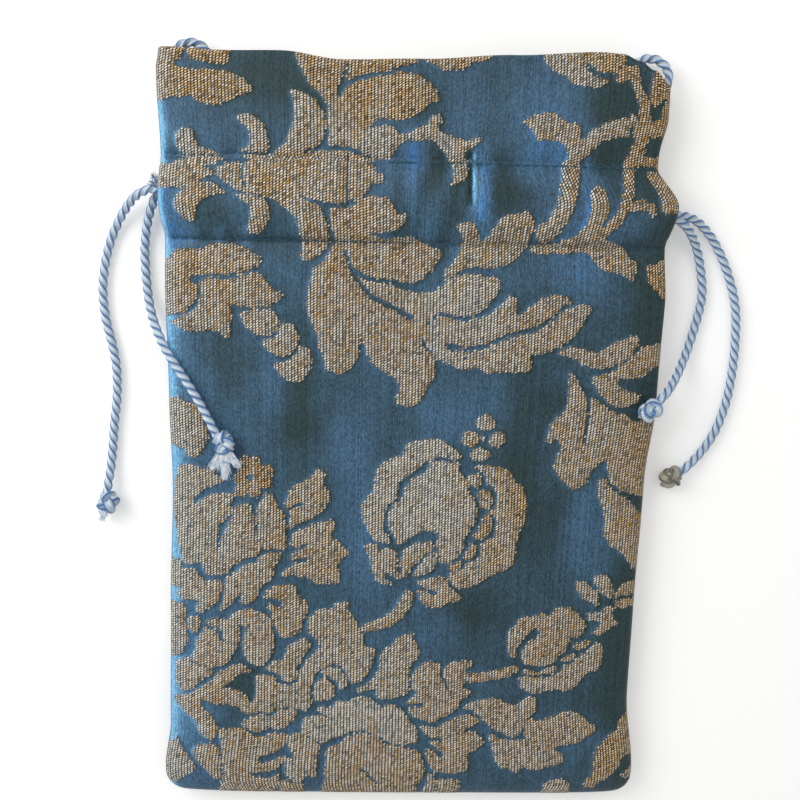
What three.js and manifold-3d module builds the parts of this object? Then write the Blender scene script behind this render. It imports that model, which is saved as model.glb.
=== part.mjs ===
// Kinchaku drawstring pouch of floral jacquard cloth, lying flat on its back, in millimetres.
// X runs across the pouch, +Y points to its mouth, +Z points up from the table.
import * as THREE from 'three';
import { mergeVertices } from 'three/addons/utils/BufferGeometryUtils.js';
import { ParametricGeometry } from 'three/addons/geometries/ParametricGeometry.js';
import Module from 'manifold-3d';

const BAG_WIDTH = 162;
const BAG_LENGTH = 253;
const CLOTH = 0.9; // thickness of the jacquard
const HEADER = 34.8; // frill above the upper stitch row
const CHANNEL = 25.3; // between the two stitch rows
const HEM_ALLOWANCE = 7; // hem below the lower stitch row
const CORD_DIAMETER = 3;
const CHANNEL_EASE = 0.8; // room left beside the cord inside the channel
const NECK_GAP = 5.6; // clear height of the mouth between the two hems
const BODY_CROWN = 13; // height of the body over the table
const BODY_SEAM = 5; // height of the side seam along the body
const MOUTH_SEAM = 6.4; // height of the side seam at the top edge
const BOTTOM_ROUND = 26; // length over which the bottom closes
const CORNER_RADIUS = 7; // bottom corners seen from above
const EDGE_POWER = 4; // how squarely the cloth turns at the side seams
const FLATTEN = 0.8; // how far the table presses the back flat
const ROW_PUFF = 0.7; // puff of the cloth beside a stitch row
const SEAM_GAP = 0.2; // between the two panels where they are sewn together
const HEADER_SLIT = 4.4; // side slit of the frill at the top edge
const FOLD_EDGE = 0.5; // rounding of the folded top edge
const SIDE_OPENING_LENGTH = 21; // oval cord opening at each end of the channel
const SIDE_OPENING_HEIGHT = 9.2;
const SIDE_OPENING_DEPTH = 26;
const LEFT_BULGE = 1.5; // how far each end of the channel stands out past the sides
const RIGHT_BULGE = 1.7;
const LEFT_CORD_OFFSET = 2.6; // left drawstring, above the middle of the channel
const RIGHT_CORD_OFFSET = -3; // right drawstring, below the middle of the channel
const EXIT_RISE = 1.75; // a cord above or below the seam in the side opening
const CORD_GAP = 0.3; // between a cord's end and the next piece
const FRAY_GAP = 0.8; // between a knot and the frayed end past it
const KNOT_LENGTH = 7.6;
const KNOT_DIAMETER = 7;
const TASSEL_LENGTH = 10.5;
const TASSEL_DIAMETER = 9;
const TASSEL_HEIGHT = 4.4;
const TAIL_LENGTH = 5;
const TAIL_DIAMETER = 4;
const LOOP_RADIUS = 6; // corner loops of cord in the mouth
const LOOP_LEG = 11;

const TOP = BAG_LENGTH / 2;
const BOTTOM = -BAG_LENGTH / 2;
const UPPER_ROW = TOP - HEADER;
const LOWER_ROW = UPPER_ROW - CHANNEL;
const CHANNEL_MID = (UPPER_ROW + LOWER_ROW) / 2;
const HEM_END = LOWER_ROW - HEM_ALLOWANCE;
const BODY = LOWER_ROW - BOTTOM;
const CORD_RADIUS = CORD_DIAMETER / 2;
const CHANNEL_ROOM = CORD_DIAMETER + CHANNEL_EASE;
const HEM = 2 * CLOTH;
const NECK_SEAM = HEM + CHANNEL_ROOM + NECK_GAP / 2;
const NECK_CROWN = 2 * HEM + CHANNEL_ROOM + NECK_GAP;

// Outline of each side: how far it lies outside half the bag width, at rows up the length.
const LEFT_SIDE = [
  [BOTTOM, 2.6], [BOTTOM + 0.05 * BODY, 3.0], [BOTTOM + 0.14 * BODY, 1.0], [BOTTOM + 0.36 * BODY, 0.4],
  [BOTTOM + 0.58 * BODY, -0.8], [BOTTOM + 0.73 * BODY, 0], [BOTTOM + 0.9 * BODY, 0.6], [LOWER_ROW, 0.1],
  [CHANNEL_MID, LEFT_BULGE], [UPPER_ROW, 1.1], [UPPER_ROW + 0.8 * HEADER, 2.2], [TOP, 1.4],
];
const RIGHT_SIDE = [
  [BOTTOM, -1.4], [BOTTOM + 0.05 * BODY, -1.2], [BOTTOM + 0.2 * BODY, -4.2], [BOTTOM + 0.36 * BODY, -3.8],
  [BOTTOM + 0.59 * BODY, -2.7], [BOTTOM + 0.74 * BODY, 0], [BOTTOM + 0.9 * BODY, 0.6], [LOWER_ROW, -0.9],
  [CHANNEL_MID, RIGHT_BULGE], [UPPER_ROW, -4.8], [UPPER_ROW + 0.62 * HEADER, -2.3], [TOP, -2.2],
];
// The wavy top edge: its drop below the full length, by share of the half width.
const TOP_EDGE = [
  [-1, 1.2], [-0.77, 2.1], [-0.54, 1.8], [-0.31, 4.0], [0, 3.3], [0.37, 1.5], [0.72, 0],
  [0.8, 0.3], [0.87, 2.2], [0.93, 4.8], [1, 9],
];
// Soft folds of the front: share of the half width, row, half width, half length, height.
const FOLDS = [
  [-0.1, CHANNEL_MID, 6, 11, 1.0], [0.08, CHANNEL_MID, 6, 10, 0.9], [0.3, CHANNEL_MID, 7, 12, 1.1],
  [-0.38, CHANNEL_MID, 8, 10, 0.9], [-0.66, CHANNEL_MID, 9, 12, 0.6], [0.62, CHANNEL_MID, 9, 12, 0.7],
  [0.1, UPPER_ROW + 14, 9, 14, -0.8], [-0.3, UPPER_ROW + 20, 12, 14, -0.9], [0.7, UPPER_ROW + 20, 12, 16, 0.9],
  [-0.02, LOWER_ROW - 18, 9, 18, -0.6], [0.42, LOWER_ROW - 26, 12, 24, 0.7],
  [-0.62, BOTTOM + 0.5 * BODY, 14, 40, 0.8], [0.72, BOTTOM + 0.36 * BODY, 10, 36, -1.0],
  [-0.78, BOTTOM + 0.12 * BODY, 10, 16, 0.9], [0.15, BOTTOM + 0.3 * BODY, 26, 34, 0.8],
];

const clamp = (value) => Math.min(1, Math.max(0, value));

function ease(from, to, value) {
  const share = clamp((value - from) / (to - from));
  return share * share * (3 - 2 * share);
}

// Value at a row of a list of [row, value], eased between the list's points.
function along(points, row) {
  if (row <= points[0][0]) return points[0][1];
  for (let k = 1; k < points.length; k += 1) {
    const [start, low] = points[k - 1];
    const [end, high] = points[k];
    if (row <= end) return low + (high - low) * ease(start, end, row);
  }
  return points[points.length - 1][1];
}

const turned = (share) => (1 - Math.min(1, Math.abs(share)) ** EDGE_POWER) ** (1 / EDGE_POWER);
const bottomShare = (y) => clamp((y - BOTTOM) / BOTTOM_ROUND);
const closing = (y) => turned(1 - bottomShare(y));
const edgeFade = (share) => ease(0, 0.7, turned(share));
const roomFade = (share) => Math.sqrt(1 - Math.abs(share) ** 8);

function sideX(share, y) {
  const outline = along(share < 0 ? LEFT_SIDE : RIGHT_SIDE, y);
  const cut = clamp((BOTTOM + CORNER_RADIUS - y) / CORNER_RADIUS);
  return BAG_WIDTH / 2 + outline - CORNER_RADIUS * (1 - Math.sqrt(1 - cut * cut));
}

function seamZ(y) {
  const neck = (NECK_SEAM - BODY_SEAM) * ease(HEM_END - 30, LOWER_ROW + 5, y);
  return BODY_SEAM + neck + (MOUTH_SEAM - NECK_SEAM) * ease(UPPER_ROW - 3, TOP - 8, y);
}

// Clear height inside the cord channel.
function channelRoom(y) {
  const share = Math.min(1, Math.abs(y - CHANNEL_MID) / (CHANNEL / 2));
  return CHANNEL_ROOM * (1 - share ** 2.6) ** (1 / 2.6);
}

function frontCrown(y) {
  const neck = (NECK_CROWN - BODY_CROWN) * ease(HEM_END - 30, LOWER_ROW, y);
  const below = ROW_PUFF * ease(LOWER_ROW - 30, LOWER_ROW - 12, y) * (1 - ease(LOWER_ROW - 8, LOWER_ROW, y));
  const above = ROW_PUFF * ease(UPPER_ROW, UPPER_ROW + 7, y) * (1 - ease(UPPER_ROW + 10, TOP, y));
  return BODY_CROWN + neck + below + above + channelRoom(y);
}

function frontFold(share, y) {
  let rise = 0;
  for (const [across, row, halfWidth, halfLength, height] of FOLDS) {
    const dx = ((share - across) * BAG_WIDTH) / 2 / halfWidth;
    const dy = (y - row) / halfLength;
    rise += height * Math.exp(-dx * dx - dy * dy);
  }
  return rise * edgeFade(share) * ease(BOTTOM + 4, BOTTOM + BOTTOM_ROUND, y);
}

// Gap between the panels' side edges: sewn up to the frill, then a slit.
function seamSlit(y) {
  return SEAM_GAP + (HEADER_SLIT - SEAM_GAP) * ease(UPPER_ROW + 4, UPPER_ROW + 0.6 * HEADER, y);
}

// A row of the frill bends to the wavy top edge.
function rowY(share, y) {
  return y - along(TOP_EDGE, share) * ease(UPPER_ROW + 2, TOP, y);
}

// Points of the two panels: inset is the way in from the outline, depth the way in from the outer face.
// The front's folds leave the hem side of the channel straight.
function frontPoint(share, y, inset, depth) {
  const seam = seamZ(y) + seamSlit(y) / 2;
  const outer = (frontCrown(y) - seam) * closing(y) * turned(share);
  const fold = frontFold(share, y) * (depth > CLOTH ? 1 - channelRoom(y) / CHANNEL_ROOM : 1);
  const z = seam + outer + fold - depth * edgeFade(share) * closing(y);
  return new THREE.Vector3(share * (sideX(share, y) - inset), rowY(share, y) + inset * (1 - bottomShare(y)), z);
}

function backPoint(share, y, inset, depth) {
  const seam = seamZ(y) - seamSlit(y) / 2;
  const outer = Math.max(0, seam - (seam + FLATTEN) * closing(y) * turned(share));
  const z = outer + depth * edgeFade(share) * closing(y);
  return new THREE.Vector3(share * (sideX(share, y) - inset), rowY(share, y) + inset * (1 - bottomShare(y)), z);
}

// Cloth from the outer face inwards: one layer in the body, two layers and the channel above the hem's end.
function panelFaces(point, share, y) {
  const hemmed = y > HEM_END;
  const depth = hemmed ? HEM + channelRoom(y) * roomFade(share) : CLOTH;
  const rounding = y >= TOP ? FOLD_EDGE : 0;
  return [point(share, y, 0, rounding), point(share, y, hemmed ? HEM : CLOTH, depth - rounding)];
}

function channelFaces(point, share, y) {
  const room = channelRoom(y) * roomFade(share);
  return [point(share, y, CLOTH, CLOTH), point(share, y, CLOTH, CLOTH + room)];
}

// Closed shell between two faces, over the given rows and columns.
function shell(faces, point, rows, shares) {
  const last = shares.length - 1;
  const around = 2 * shares.length;
  const stacks = rows.length + 1;
  const place = (u, v, target) => {
    const step = Math.round(u * around) % around;
    const line = Math.round(v * stacks);
    const row = Math.min(Math.max(line - 1, 0), rows.length - 1);
    const column = step <= last ? step : around - 1 - step;
    const [outer, inner] = faces(point, shares[column], rows[row]);
    if (line !== row + 1) target.lerpVectors(outer, inner, 0.5);
    else target.copy(step <= last ? outer : inner);
  };
  return new ParametricGeometry(place, around, stacks);
}

function columnShares(columns) {
  return Array.from({ length: columns + 1 }, (_, k) => Math.sin((Math.PI / 2) * ((2 * k) / columns - 1)));
}

const spread = (from, to, shares) => shares.map((share) => from + (to - from) * share);
const BOTTOM_ROWS = spread(BOTTOM, BOTTOM + BOTTOM_ROUND, [0, 0.01, 0.06, 0.2, 0.5, 1]);
const BODY_ROWS = spread(BOTTOM + BOTTOM_ROUND, HEM_END - 6, [0.2, 0.4, 0.6, 0.8, 1]);
const HEM_ROWS = [HEM_END, HEM_END + 0.5, LOWER_ROW - 3.5, LOWER_ROW];
const CHANNEL_ROWS = spread(LOWER_ROW, UPPER_ROW, [0.04, 0.13, 0.3, 0.5, 0.7, 0.87, 0.96]);
const HEADER_ROWS = spread(UPPER_ROW, TOP, [0, 0.14, 0.4, 0.7, 0.96, 1]);
const PANEL_ROWS = [...BOTTOM_ROWS, ...BODY_ROWS, ...HEM_ROWS, ...CHANNEL_ROWS, ...HEADER_ROWS];
const FRONT_SHARES = columnShares(34);
const BACK_SHARES = columnShares(18);

const wasm = await Module();
wasm.setup();

function solid(geometry) {
  const bare = geometry.index ? geometry : mergeVertices(geometry);
  bare.deleteAttribute('normal');
  bare.deleteAttribute('uv');
  const merged = mergeVertices(bare, 1e-3);
  const corners = merged.index.array;
  const triangles = [];
  for (let k = 0; k < corners.length; k += 3) {
    const [a, b, c] = [corners[k], corners[k + 1], corners[k + 2]];
    if (a !== b && b !== c && c !== a) triangles.push(a, b, c);
  }
  const mesh = new wasm.Mesh({
    numProp: 3,
    vertProperties: new Float32Array(merged.attributes.position.array),
    triVerts: new Uint32Array(triangles),
  });
  const body = new wasm.Manifold(mesh);
  if (body.volume() > 0) return body;
  const flipped = new Uint32Array(triangles.length);
  for (let k = 0; k < triangles.length; k += 3) {
    flipped.set([triangles[k], triangles[k + 2], triangles[k + 1]], k);
  }
  return new wasm.Manifold(new wasm.Mesh({ numProp: 3, vertProperties: mesh.vertProperties, triVerts: flipped }));
}

function geometryOf(body) {
  const mesh = body.getMesh();
  const geometry = new THREE.BufferGeometry();
  const places = new Float32Array(mesh.numVert * 3);
  for (let k = 0; k < mesh.numVert; k += 1) {
    for (let axis = 0; axis < 3; axis += 1) places[3 * k + axis] = mesh.vertProperties[mesh.numProp * k + axis];
  }
  geometry.setAttribute('position', new THREE.BufferAttribute(places, 3));
  geometry.setIndex(new THREE.BufferAttribute(new Uint32Array(mesh.triVerts), 1));
  geometry.computeVertexNormals();
  return geometry;
}

const pouch = new THREE.Group();
pouch.name = 'kinchaku_pouch';

function add(name, geometry, colour, roughness) {
  const mesh = new THREE.Mesh(geometry, new THREE.MeshStandardMaterial({ color: colour, roughness }));
  mesh.name = name;
  pouch.add(mesh);
}

// Side opening: an oval hole across each side seam, through which the cords leave the channel.
function sideOpening(side) {
  const outside = 6;
  const length = SIDE_OPENING_DEPTH + outside;
  const oval = new THREE.CylinderGeometry(0.5, 0.5, length, 20);
  oval.rotateZ(Math.PI / 2);
  oval.scale(1, SIDE_OPENING_LENGTH, SIDE_OPENING_HEIGHT);
  const middle = BAG_WIDTH / 2 + LEFT_BULGE + outside - length / 2;
  oval.translate(side * middle, CHANNEL_MID, NECK_SEAM);
  return solid(oval);
}
const openings = sideOpening(-1).add(sideOpening(1));

function panel(point, shares) {
  const cloth = solid(shell(panelFaces, point, PANEL_ROWS, shares));
  const channel = solid(shell(channelFaces, point, CHANNEL_ROWS, shares.slice(2, -2)));
  return geometryOf(cloth.subtract(channel).subtract(openings));
}

// Front and back panels: one sheet each, its top turned in as the hem that makes the channel.
add('front_panel', panel(frontPoint, FRONT_SHARES), 0x33597a, 0.75);
add('back_panel', panel(backPoint, BACK_SHARES), 0x33597a, 0.75);

const SECTION = new THREE.Shape(
  Array.from({ length: 8 }, (_, k) => {
    const angle = ((k + 0.5) * Math.PI) / 4;
    return new THREE.Vector2(CORD_RADIUS * Math.cos(angle), CORD_RADIUS * Math.sin(angle));
  }),
);

function cord(points, steps) {
  const path = new THREE.CatmullRomCurve3(points.map((point) => new THREE.Vector3(...point)), false, 'centripetal');
  return new THREE.ExtrudeGeometry(SECTION, { steps, bevelEnabled: false, extrudePath: path });
}

// Height of a cord that lies in the channel of each panel.
function frontCordZ(x, y) {
  const [, hemSide] = channelFaces(frontPoint, x / sideX(x, y), y);
  return hemSide.z + CHANNEL_ROOM / 2;
}

function backCordZ(x, y) {
  const [outerSide] = channelFaces(backPoint, x / sideX(x, y), y);
  return outerSide.z + CHANNEL_ROOM / 2;
}

// Drawstring inside the channel: in at one side opening, round the far side and back out again.
function drawstring(side, y) {
  const end = BAG_WIDTH / 2 - 2;
  const turn = BAG_WIDTH / 2 - 20;
  const legX = [BAG_WIDTH / 2 - 21, BAG_WIDTH / 2 - 33, 0, 33 - BAG_WIDTH / 2, 20 - BAG_WIDTH / 2];
  const front = legX.map((x) => [side * x, y, frontCordZ(side * x, y)]);
  const back = legX.map((x) => [side * x, y, backCordZ(side * x, y)]);
  const high = front[4][2];
  const low = back[4][2];
  const radius = (high - low) / 2;
  const bend = [45, 0, -45].map((degrees) => {
    const angle = THREE.MathUtils.degToRad(degrees);
    return [-side * (turn + radius * Math.cos(angle)), y, low + radius + radius * Math.sin(angle)];
  });
  const start = [[side * end, y, NECK_SEAM + EXIT_RISE], [side * (end - 9), y, NECK_SEAM + EXIT_RISE + 1.2]];
  const finish = [[side * (end - 9), y, NECK_SEAM - EXIT_RISE - 1.2], [side * end, y, NECK_SEAM - EXIT_RISE]];
  return cord([...start, ...front, ...bend, ...back.reverse(), ...finish], 40);
}
const LEFT_ROW = CHANNEL_MID + LEFT_CORD_OFFSET;
const RIGHT_ROW = CHANNEL_MID + RIGHT_CORD_OFFSET;
add('left_drawstring', drawstring(-1, LEFT_ROW), 0xb9cbe0, 0.4);
add('right_drawstring', drawstring(1, RIGHT_ROW), 0xb9cbe0, 0.4);

// Free ends of the cords, on from the side openings, as offsets from each opening.
const LEFT_EXIT = new THREE.Vector3(-BAG_WIDTH / 2, CHANNEL_MID, 0);
const RIGHT_EXIT = new THREE.Vector3(BAG_WIDTH / 2, CHANNEL_MID, 0);
const LEFT_FRONT_ROUTE = [
  [1.3, 2.6, 10.15], [-3.8, 2.6, 9.9], [-8.8, 0.8, 7.6], [-13.2, -3.4, 4.1], [-16.8, -9, 2.1], [-19.5, -15.4, 1.6],
  [-21.2, -22.4, 1.6], [-22, -30.4, 1.6], [-21.3, -39.6, 1.6], [-19.5, -47.6, 1.6], [-18.3, -54.2, 1.6],
  [-18, -61, 1.6], [-18.3, -67.1, 1.6], [-19.1, -73.9, 1.6], [-19.9, -82.5, 1.6], [-20.7, -90.6, 2.2],
  [-21.4, -95.6, 3.4], [-21.8, -98.5, 3.6],
];
const LEFT_BACK_ROUTE = [
  [1.3, 2.6, 6.65], [-2.4, 1.5, 6.2], [-5, -2.8, 4.5], [-7, -9, 2.6], [-8, -15.5, 1.6], [-8, -22, 1.6],
  [-7.6, -28, 1.7], [-6.8, -33.6, 2.6], [-5.2, -39, 5], [-2.9, -43.8, 8.2], [0.6, -49.6, 11.2], [5.2, -56.2, 12.9],
  [9.6, -62.8, 13.9], [13.4, -69.4, 14.8], [16.1, -74.2, 16.1], [17.6, -76.8, 16.4],
];
const RIGHT_FRONT_ROUTE = [
  [-1.3, -3, 10.15], [2.8, -3.8, 9.8], [6.6, -6.6, 7.8], [10.4, -11.6, 4.2], [13.2, -19, 1.9], [14.5, -28.3, 1.6],
  [13.4, -36, 1.6], [11.5, -43.5, 2], [8.9, -50.2, 4], [5.6, -55.5, 8], [1.8, -59.7, 12.4], [0, -61.4, 13.5],
  [-1.9, -63.3, 13.8],
];
const RIGHT_BACK_ROUTE = [
  [-1.3, -3, 6.65], [2.8, -2.2, 6.4], [9.6, -3.6, 4.4], [16, -9, 2], [21.6, -18.6, 1.6], [25.8, -31, 1.6],
  [26.8, -43, 1.6], [26.4, -55, 1.6], [24.8, -66, 1.6], [21.6, -75.5, 1.6], [17.2, -82.4, 1.8], [12.5, -86.8, 3.3],
  [9.9, -88.9, 3.6],
];

function freeEnd(exit, route, steps) {
  return cord(route.map(([x, y, z]) => [exit.x + x, exit.y + y, exit.z + z]), steps);
}
add('left_front_end', freeEnd(LEFT_EXIT, LEFT_FRONT_ROUTE, 20), 0xb9cbe0, 0.4);
add('left_back_end', freeEnd(LEFT_EXIT, LEFT_BACK_ROUTE, 18), 0xb9cbe0, 0.4);
add('right_front_end', freeEnd(RIGHT_EXIT, RIGHT_FRONT_ROUTE, 14), 0xb9cbe0, 0.4);
add('right_back_end', freeEnd(RIGHT_EXIT, RIGHT_BACK_ROUTE, 18), 0xb9cbe0, 0.4);

// Overhand knots at the cord ends: the outer shape of the knot, turned to the cord's last run.
function profile(points) {
  return new THREE.LatheGeometry(points.map(([radius, height]) => new THREE.Vector2(radius, height)), 12);
}
const KNOT_PROFILE = [[0, 0], [0.3, 0], [0.42, 0.16], [0.5, 0.32], [0.42, 0.5], [0.5, 0.68], [0.42, 0.84], [0.3, 1], [0, 1]];

// A turned piece set at a point, its axis along a direction.
function setAlong(geometry, start, direction) {
  geometry.rotateX(Math.asin(direction.z));
  geometry.rotateZ(Math.atan2(-direction.x, direction.y));
  return geometry.translate(start.x, start.y, start.z);
}

function routeEnd(exit, route) {
  const points = route.slice(-3).map((point) => new THREE.Vector3(...point).add(exit));
  const path = new THREE.CatmullRomCurve3(points, false, 'centripetal');
  return [path.getPoint(1), path.getTangent(1)];
}

function knot() {
  return profile(KNOT_PROFILE.map(([radius, height]) => [radius * KNOT_DIAMETER, height * KNOT_LENGTH]));
}
function addKnot(name, exit, route) {
  const [end, run] = routeEnd(exit, route);
  add(name, setAlong(knot(), end.addScaledVector(run, CORD_GAP), run), 0xb9cbe0, 0.4);
  return end.addScaledVector(run, KNOT_LENGTH + FRAY_GAP);
}
const leftFrontEnd = addKnot('left_front_knot', LEFT_EXIT, LEFT_FRONT_ROUTE);
const leftBackEnd = addKnot('left_back_knot', LEFT_EXIT, LEFT_BACK_ROUTE);
addKnot('right_front_knot', RIGHT_EXIT, RIGHT_FRONT_ROUTE);
addKnot('right_back_knot', RIGHT_EXIT, RIGHT_BACK_ROUTE);

// Frayed ends past the two left knots: a spread tassel and a short tail.
function frayed(length, width, height) {
  const brush = profile([[0, 0], [0.28, 0], [0.36, 0.4], [0.5, 1], [0, 1]].map(([r, h]) => [r, h * length]));
  return brush.scale(width, 1, height);
}
const tassel = frayed(TASSEL_LENGTH, TASSEL_DIAMETER, TASSEL_HEIGHT);
add('left_back_tassel', setAlong(tassel, leftBackEnd, new THREE.Vector3(0.3, -0.95, -0.1).normalize()), 0xb9cbe0, 0.6);
const tail = frayed(TAIL_LENGTH, TAIL_DIAMETER, TAIL_DIAMETER);
add('left_front_tail', setAlong(tail, leftFrontEnd, new THREE.Vector3(-0.2, -0.97, 0).normalize()), 0xb9cbe0, 0.6);

// Corner loops: short cord loops lying in the mouth at the ends of the side seams.
function cornerLoop(x, y, degrees, outerZ, innerZ) {
  const heading = THREE.MathUtils.degToRad(degrees);
  const side = Math.sign(x);
  const spots = [[-LOOP_LEG, 1], [-LOOP_LEG / 2, 1], [0, 1]];
  for (const angle of [30, 60, 90, 120, 150]) {
    const bend = THREE.MathUtils.degToRad(angle);
    spots.push([LOOP_RADIUS * Math.sin(bend), Math.cos(bend)]);
  }
  spots.push([0, -1], [-LOOP_LEG / 2, -1], [-LOOP_LEG, -1]);
  const points = spots.map(([run, across]) => {
    const out = side * across * LOOP_RADIUS;
    const level = innerZ + ((outerZ - innerZ) * (across + 1)) / 2;
    const px = x + run * Math.cos(heading) + out * Math.sin(heading);
    return [px, y + run * Math.sin(heading) - out * Math.cos(heading), level];
  });
  return cord(points, 14);
}
const LOOP_X = BAG_WIDTH / 2 - 8.2;
add('left_corner_loop', cornerLoop(-LOOP_X, TOP - 5.2, 90, 5.8, 3.9), 0xb9cbe0, 0.4);
add('right_corner_loop', cornerLoop(LOOP_X, TOP - 6.6, 40, 6.6, 4.2), 0xb9cbe0, 0.4);

export default pouch;
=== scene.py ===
# Kinchaku drawstring pouch of blue floral jacquard with twisted satin cords, lying flat on its back.
# Sizes are in millimetres, in the frame of the CAD part, and become metres where a mesh is made.
import math
import bpy
import numpy as np
from mathutils import Matrix, Vector


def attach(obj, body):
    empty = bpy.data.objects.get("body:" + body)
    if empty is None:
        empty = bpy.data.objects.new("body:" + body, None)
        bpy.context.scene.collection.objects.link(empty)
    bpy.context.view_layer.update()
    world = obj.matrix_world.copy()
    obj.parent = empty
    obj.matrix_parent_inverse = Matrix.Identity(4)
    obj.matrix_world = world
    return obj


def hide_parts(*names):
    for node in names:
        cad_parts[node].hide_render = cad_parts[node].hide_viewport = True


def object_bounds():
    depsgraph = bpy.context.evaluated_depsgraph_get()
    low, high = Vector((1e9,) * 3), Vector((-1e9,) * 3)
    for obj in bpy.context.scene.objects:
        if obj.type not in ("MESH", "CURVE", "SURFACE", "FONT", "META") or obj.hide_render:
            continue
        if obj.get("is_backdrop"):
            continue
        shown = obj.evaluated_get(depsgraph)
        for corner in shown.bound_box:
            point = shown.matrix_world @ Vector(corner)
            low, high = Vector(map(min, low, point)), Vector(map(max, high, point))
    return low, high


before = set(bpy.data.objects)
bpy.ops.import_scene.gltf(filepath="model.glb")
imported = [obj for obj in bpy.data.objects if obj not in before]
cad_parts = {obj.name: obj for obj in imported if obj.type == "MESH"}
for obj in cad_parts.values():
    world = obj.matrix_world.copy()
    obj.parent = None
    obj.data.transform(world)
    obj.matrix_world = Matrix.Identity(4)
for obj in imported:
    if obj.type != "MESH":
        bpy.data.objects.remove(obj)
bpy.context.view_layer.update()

# Pouch cloth: two sheets of jacquard, sewn together at the sides and the bottom.
# Each sheet's top is turned in and stitched down in two rows, which makes the frill and the cord channel.
BAG_WIDTH = 162
BAG_LENGTH = 253
CLOTH = 0.9
HEADER = 34.8
CHANNEL = 25.3
HEM_ALLOWANCE = 7
CORD_DIAMETER = 3
CHANNEL_EASE = 0.8
NECK_GAP = 5.6
BODY_CROWN = 13
BODY_SEAM = 5
MOUTH_SEAM = 6.4
BOTTOM_ROUND = 26
CORNER_RADIUS = 7
EDGE_POWER = 4
FLATTEN = 0.8
ROW_PUFF = 0.7
SEAM_GAP = 0.2
HEADER_SLIT = 4.4
OPENING_LENGTH = 21
OPENING_RISE = 4.4
LEFT_BULGE = 1.5
RIGHT_BULGE = 1.7
BOTTOM_LIFT = 1.3
THREAD_GAP = 0.08
FINE_STEP = 0.72
COARSE = 4
SIDE_RISE = 9
BOTTOM_RISE = 8

TOP = BAG_LENGTH / 2
BOTTOM = -BAG_LENGTH / 2
UPPER_ROW = TOP - HEADER
LOWER_ROW = UPPER_ROW - CHANNEL
CHANNEL_MID = (UPPER_ROW + LOWER_ROW) / 2
HEM_END = LOWER_ROW - HEM_ALLOWANCE
BODY = LOWER_ROW - BOTTOM
HEM = 2 * CLOTH
CHANNEL_ROOM = CORD_DIAMETER + CHANNEL_EASE
NECK_SEAM = HEM + CHANNEL_ROOM + NECK_GAP / 2
NECK_CROWN = 2 * HEM + CHANNEL_ROOM + NECK_GAP

# How far each side lies outside half the width, at rows up the length.
LEFT_SIDE = [
    (BOTTOM, 2.6), (BOTTOM + 0.05 * BODY, 3.0), (BOTTOM + 0.14 * BODY, 1.0), (BOTTOM + 0.36 * BODY, 0.4),
    (BOTTOM + 0.58 * BODY, -0.8), (BOTTOM + 0.73 * BODY, 0), (BOTTOM + 0.9 * BODY, 0.6), (LOWER_ROW, 0.1),
    (CHANNEL_MID, LEFT_BULGE), (UPPER_ROW, 1.1), (UPPER_ROW + 0.8 * HEADER, 2.2), (TOP, 1.4),
]
RIGHT_SIDE = [
    (BOTTOM, -1.4), (BOTTOM + 0.05 * BODY, -1.2), (BOTTOM + 0.2 * BODY, -4.2), (BOTTOM + 0.36 * BODY, -3.8),
    (BOTTOM + 0.59 * BODY, -2.7), (BOTTOM + 0.74 * BODY, 0), (BOTTOM + 0.9 * BODY, 0.6), (LOWER_ROW, -0.9),
    (CHANNEL_MID, RIGHT_BULGE), (UPPER_ROW, -4.8), (UPPER_ROW + 0.62 * HEADER, -2.3), (TOP, -2.2),
]
# Drop of the wavy top edge, by share of the half width.
TOP_EDGE = [
    (-1, 1.2), (-0.77, 2.1), (-0.54, 1.8), (-0.31, 4.0), (0, 3.3), (0.37, 1.5), (0.72, 0),
    (0.8, 0.3), (0.87, 2.2), (0.93, 4.8), (1, 9),
]
# Soft folds: x, y, half width, half length and height.
FOLDS = [
    (-8.1, CHANNEL_MID, 6, 11, 1.0), (6.5, CHANNEL_MID, 6, 10, 0.9), (24.3, CHANNEL_MID, 7, 12, 1.1),
    (-30.8, CHANNEL_MID, 8, 10, 0.9), (-53.5, CHANNEL_MID, 9, 12, 0.6), (50.2, CHANNEL_MID, 9, 12, 0.7),
    (8.1, UPPER_ROW + 14, 9, 14, -0.8), (-24.3, UPPER_ROW + 20, 12, 14, -0.9),
    (56.7, UPPER_ROW + 20, 12, 16, 0.9), (-1.6, LOWER_ROW - 18, 9, 18, -0.6),
    (34, LOWER_ROW - 26, 12, 24, 0.7), (-50.2, BOTTOM + 0.5 * BODY, 14, 40, 0.8),
    (58.3, BOTTOM + 0.36 * BODY, 10, 36, -1.0), (-63.2, BOTTOM + 0.12 * BODY, 10, 16, 0.9),
    (12.2, BOTTOM + 0.3 * BODY, 26, 34, 0.8), (-1.2, 85, 3.0, 9, 0.7), (20.8, 84, 3.2, 12, 0.8),
    (10, 88, 2.6, 9, 0.4),
]
# Upright stitched tucks across the upper row: x, lower end and upper end.
TUCKS = [(-23, 78, 93.5), (15.9, 79, 95)]
# The two stitch rows, at the left side and at the right side of the pouch.
STITCH_ROWS = [(92.5, 90.9), (66.7, 66.1)]
PUCKER_HEIGHT = 0.2
PUCKER_REACH = 3.6
ROW_SINK = 0.65
ROW_SINK_REACH = 0.9
TUCK_SINK = 0.8
TUCK_CREASE = 0.7
TUCK_SHOULDER = 0.3
TUCK_REACH = 3


def ease(start, end, value):
    share = np.clip((value - start) / (end - start), 0, 1)
    return share * share * (3 - 2 * share)


def along(points, row):
    rows = np.array([point[0] for point in points])
    values = np.array([point[1] for point in points])
    at = np.clip(np.searchsorted(rows, row) - 1, 0, len(rows) - 2)
    return values[at] + (values[at + 1] - values[at]) * ease(rows[at], rows[at + 1], row)


def turned(share):
    return (1 - np.minimum(1, np.abs(share)) ** EDGE_POWER) ** (1 / EDGE_POWER)


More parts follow.
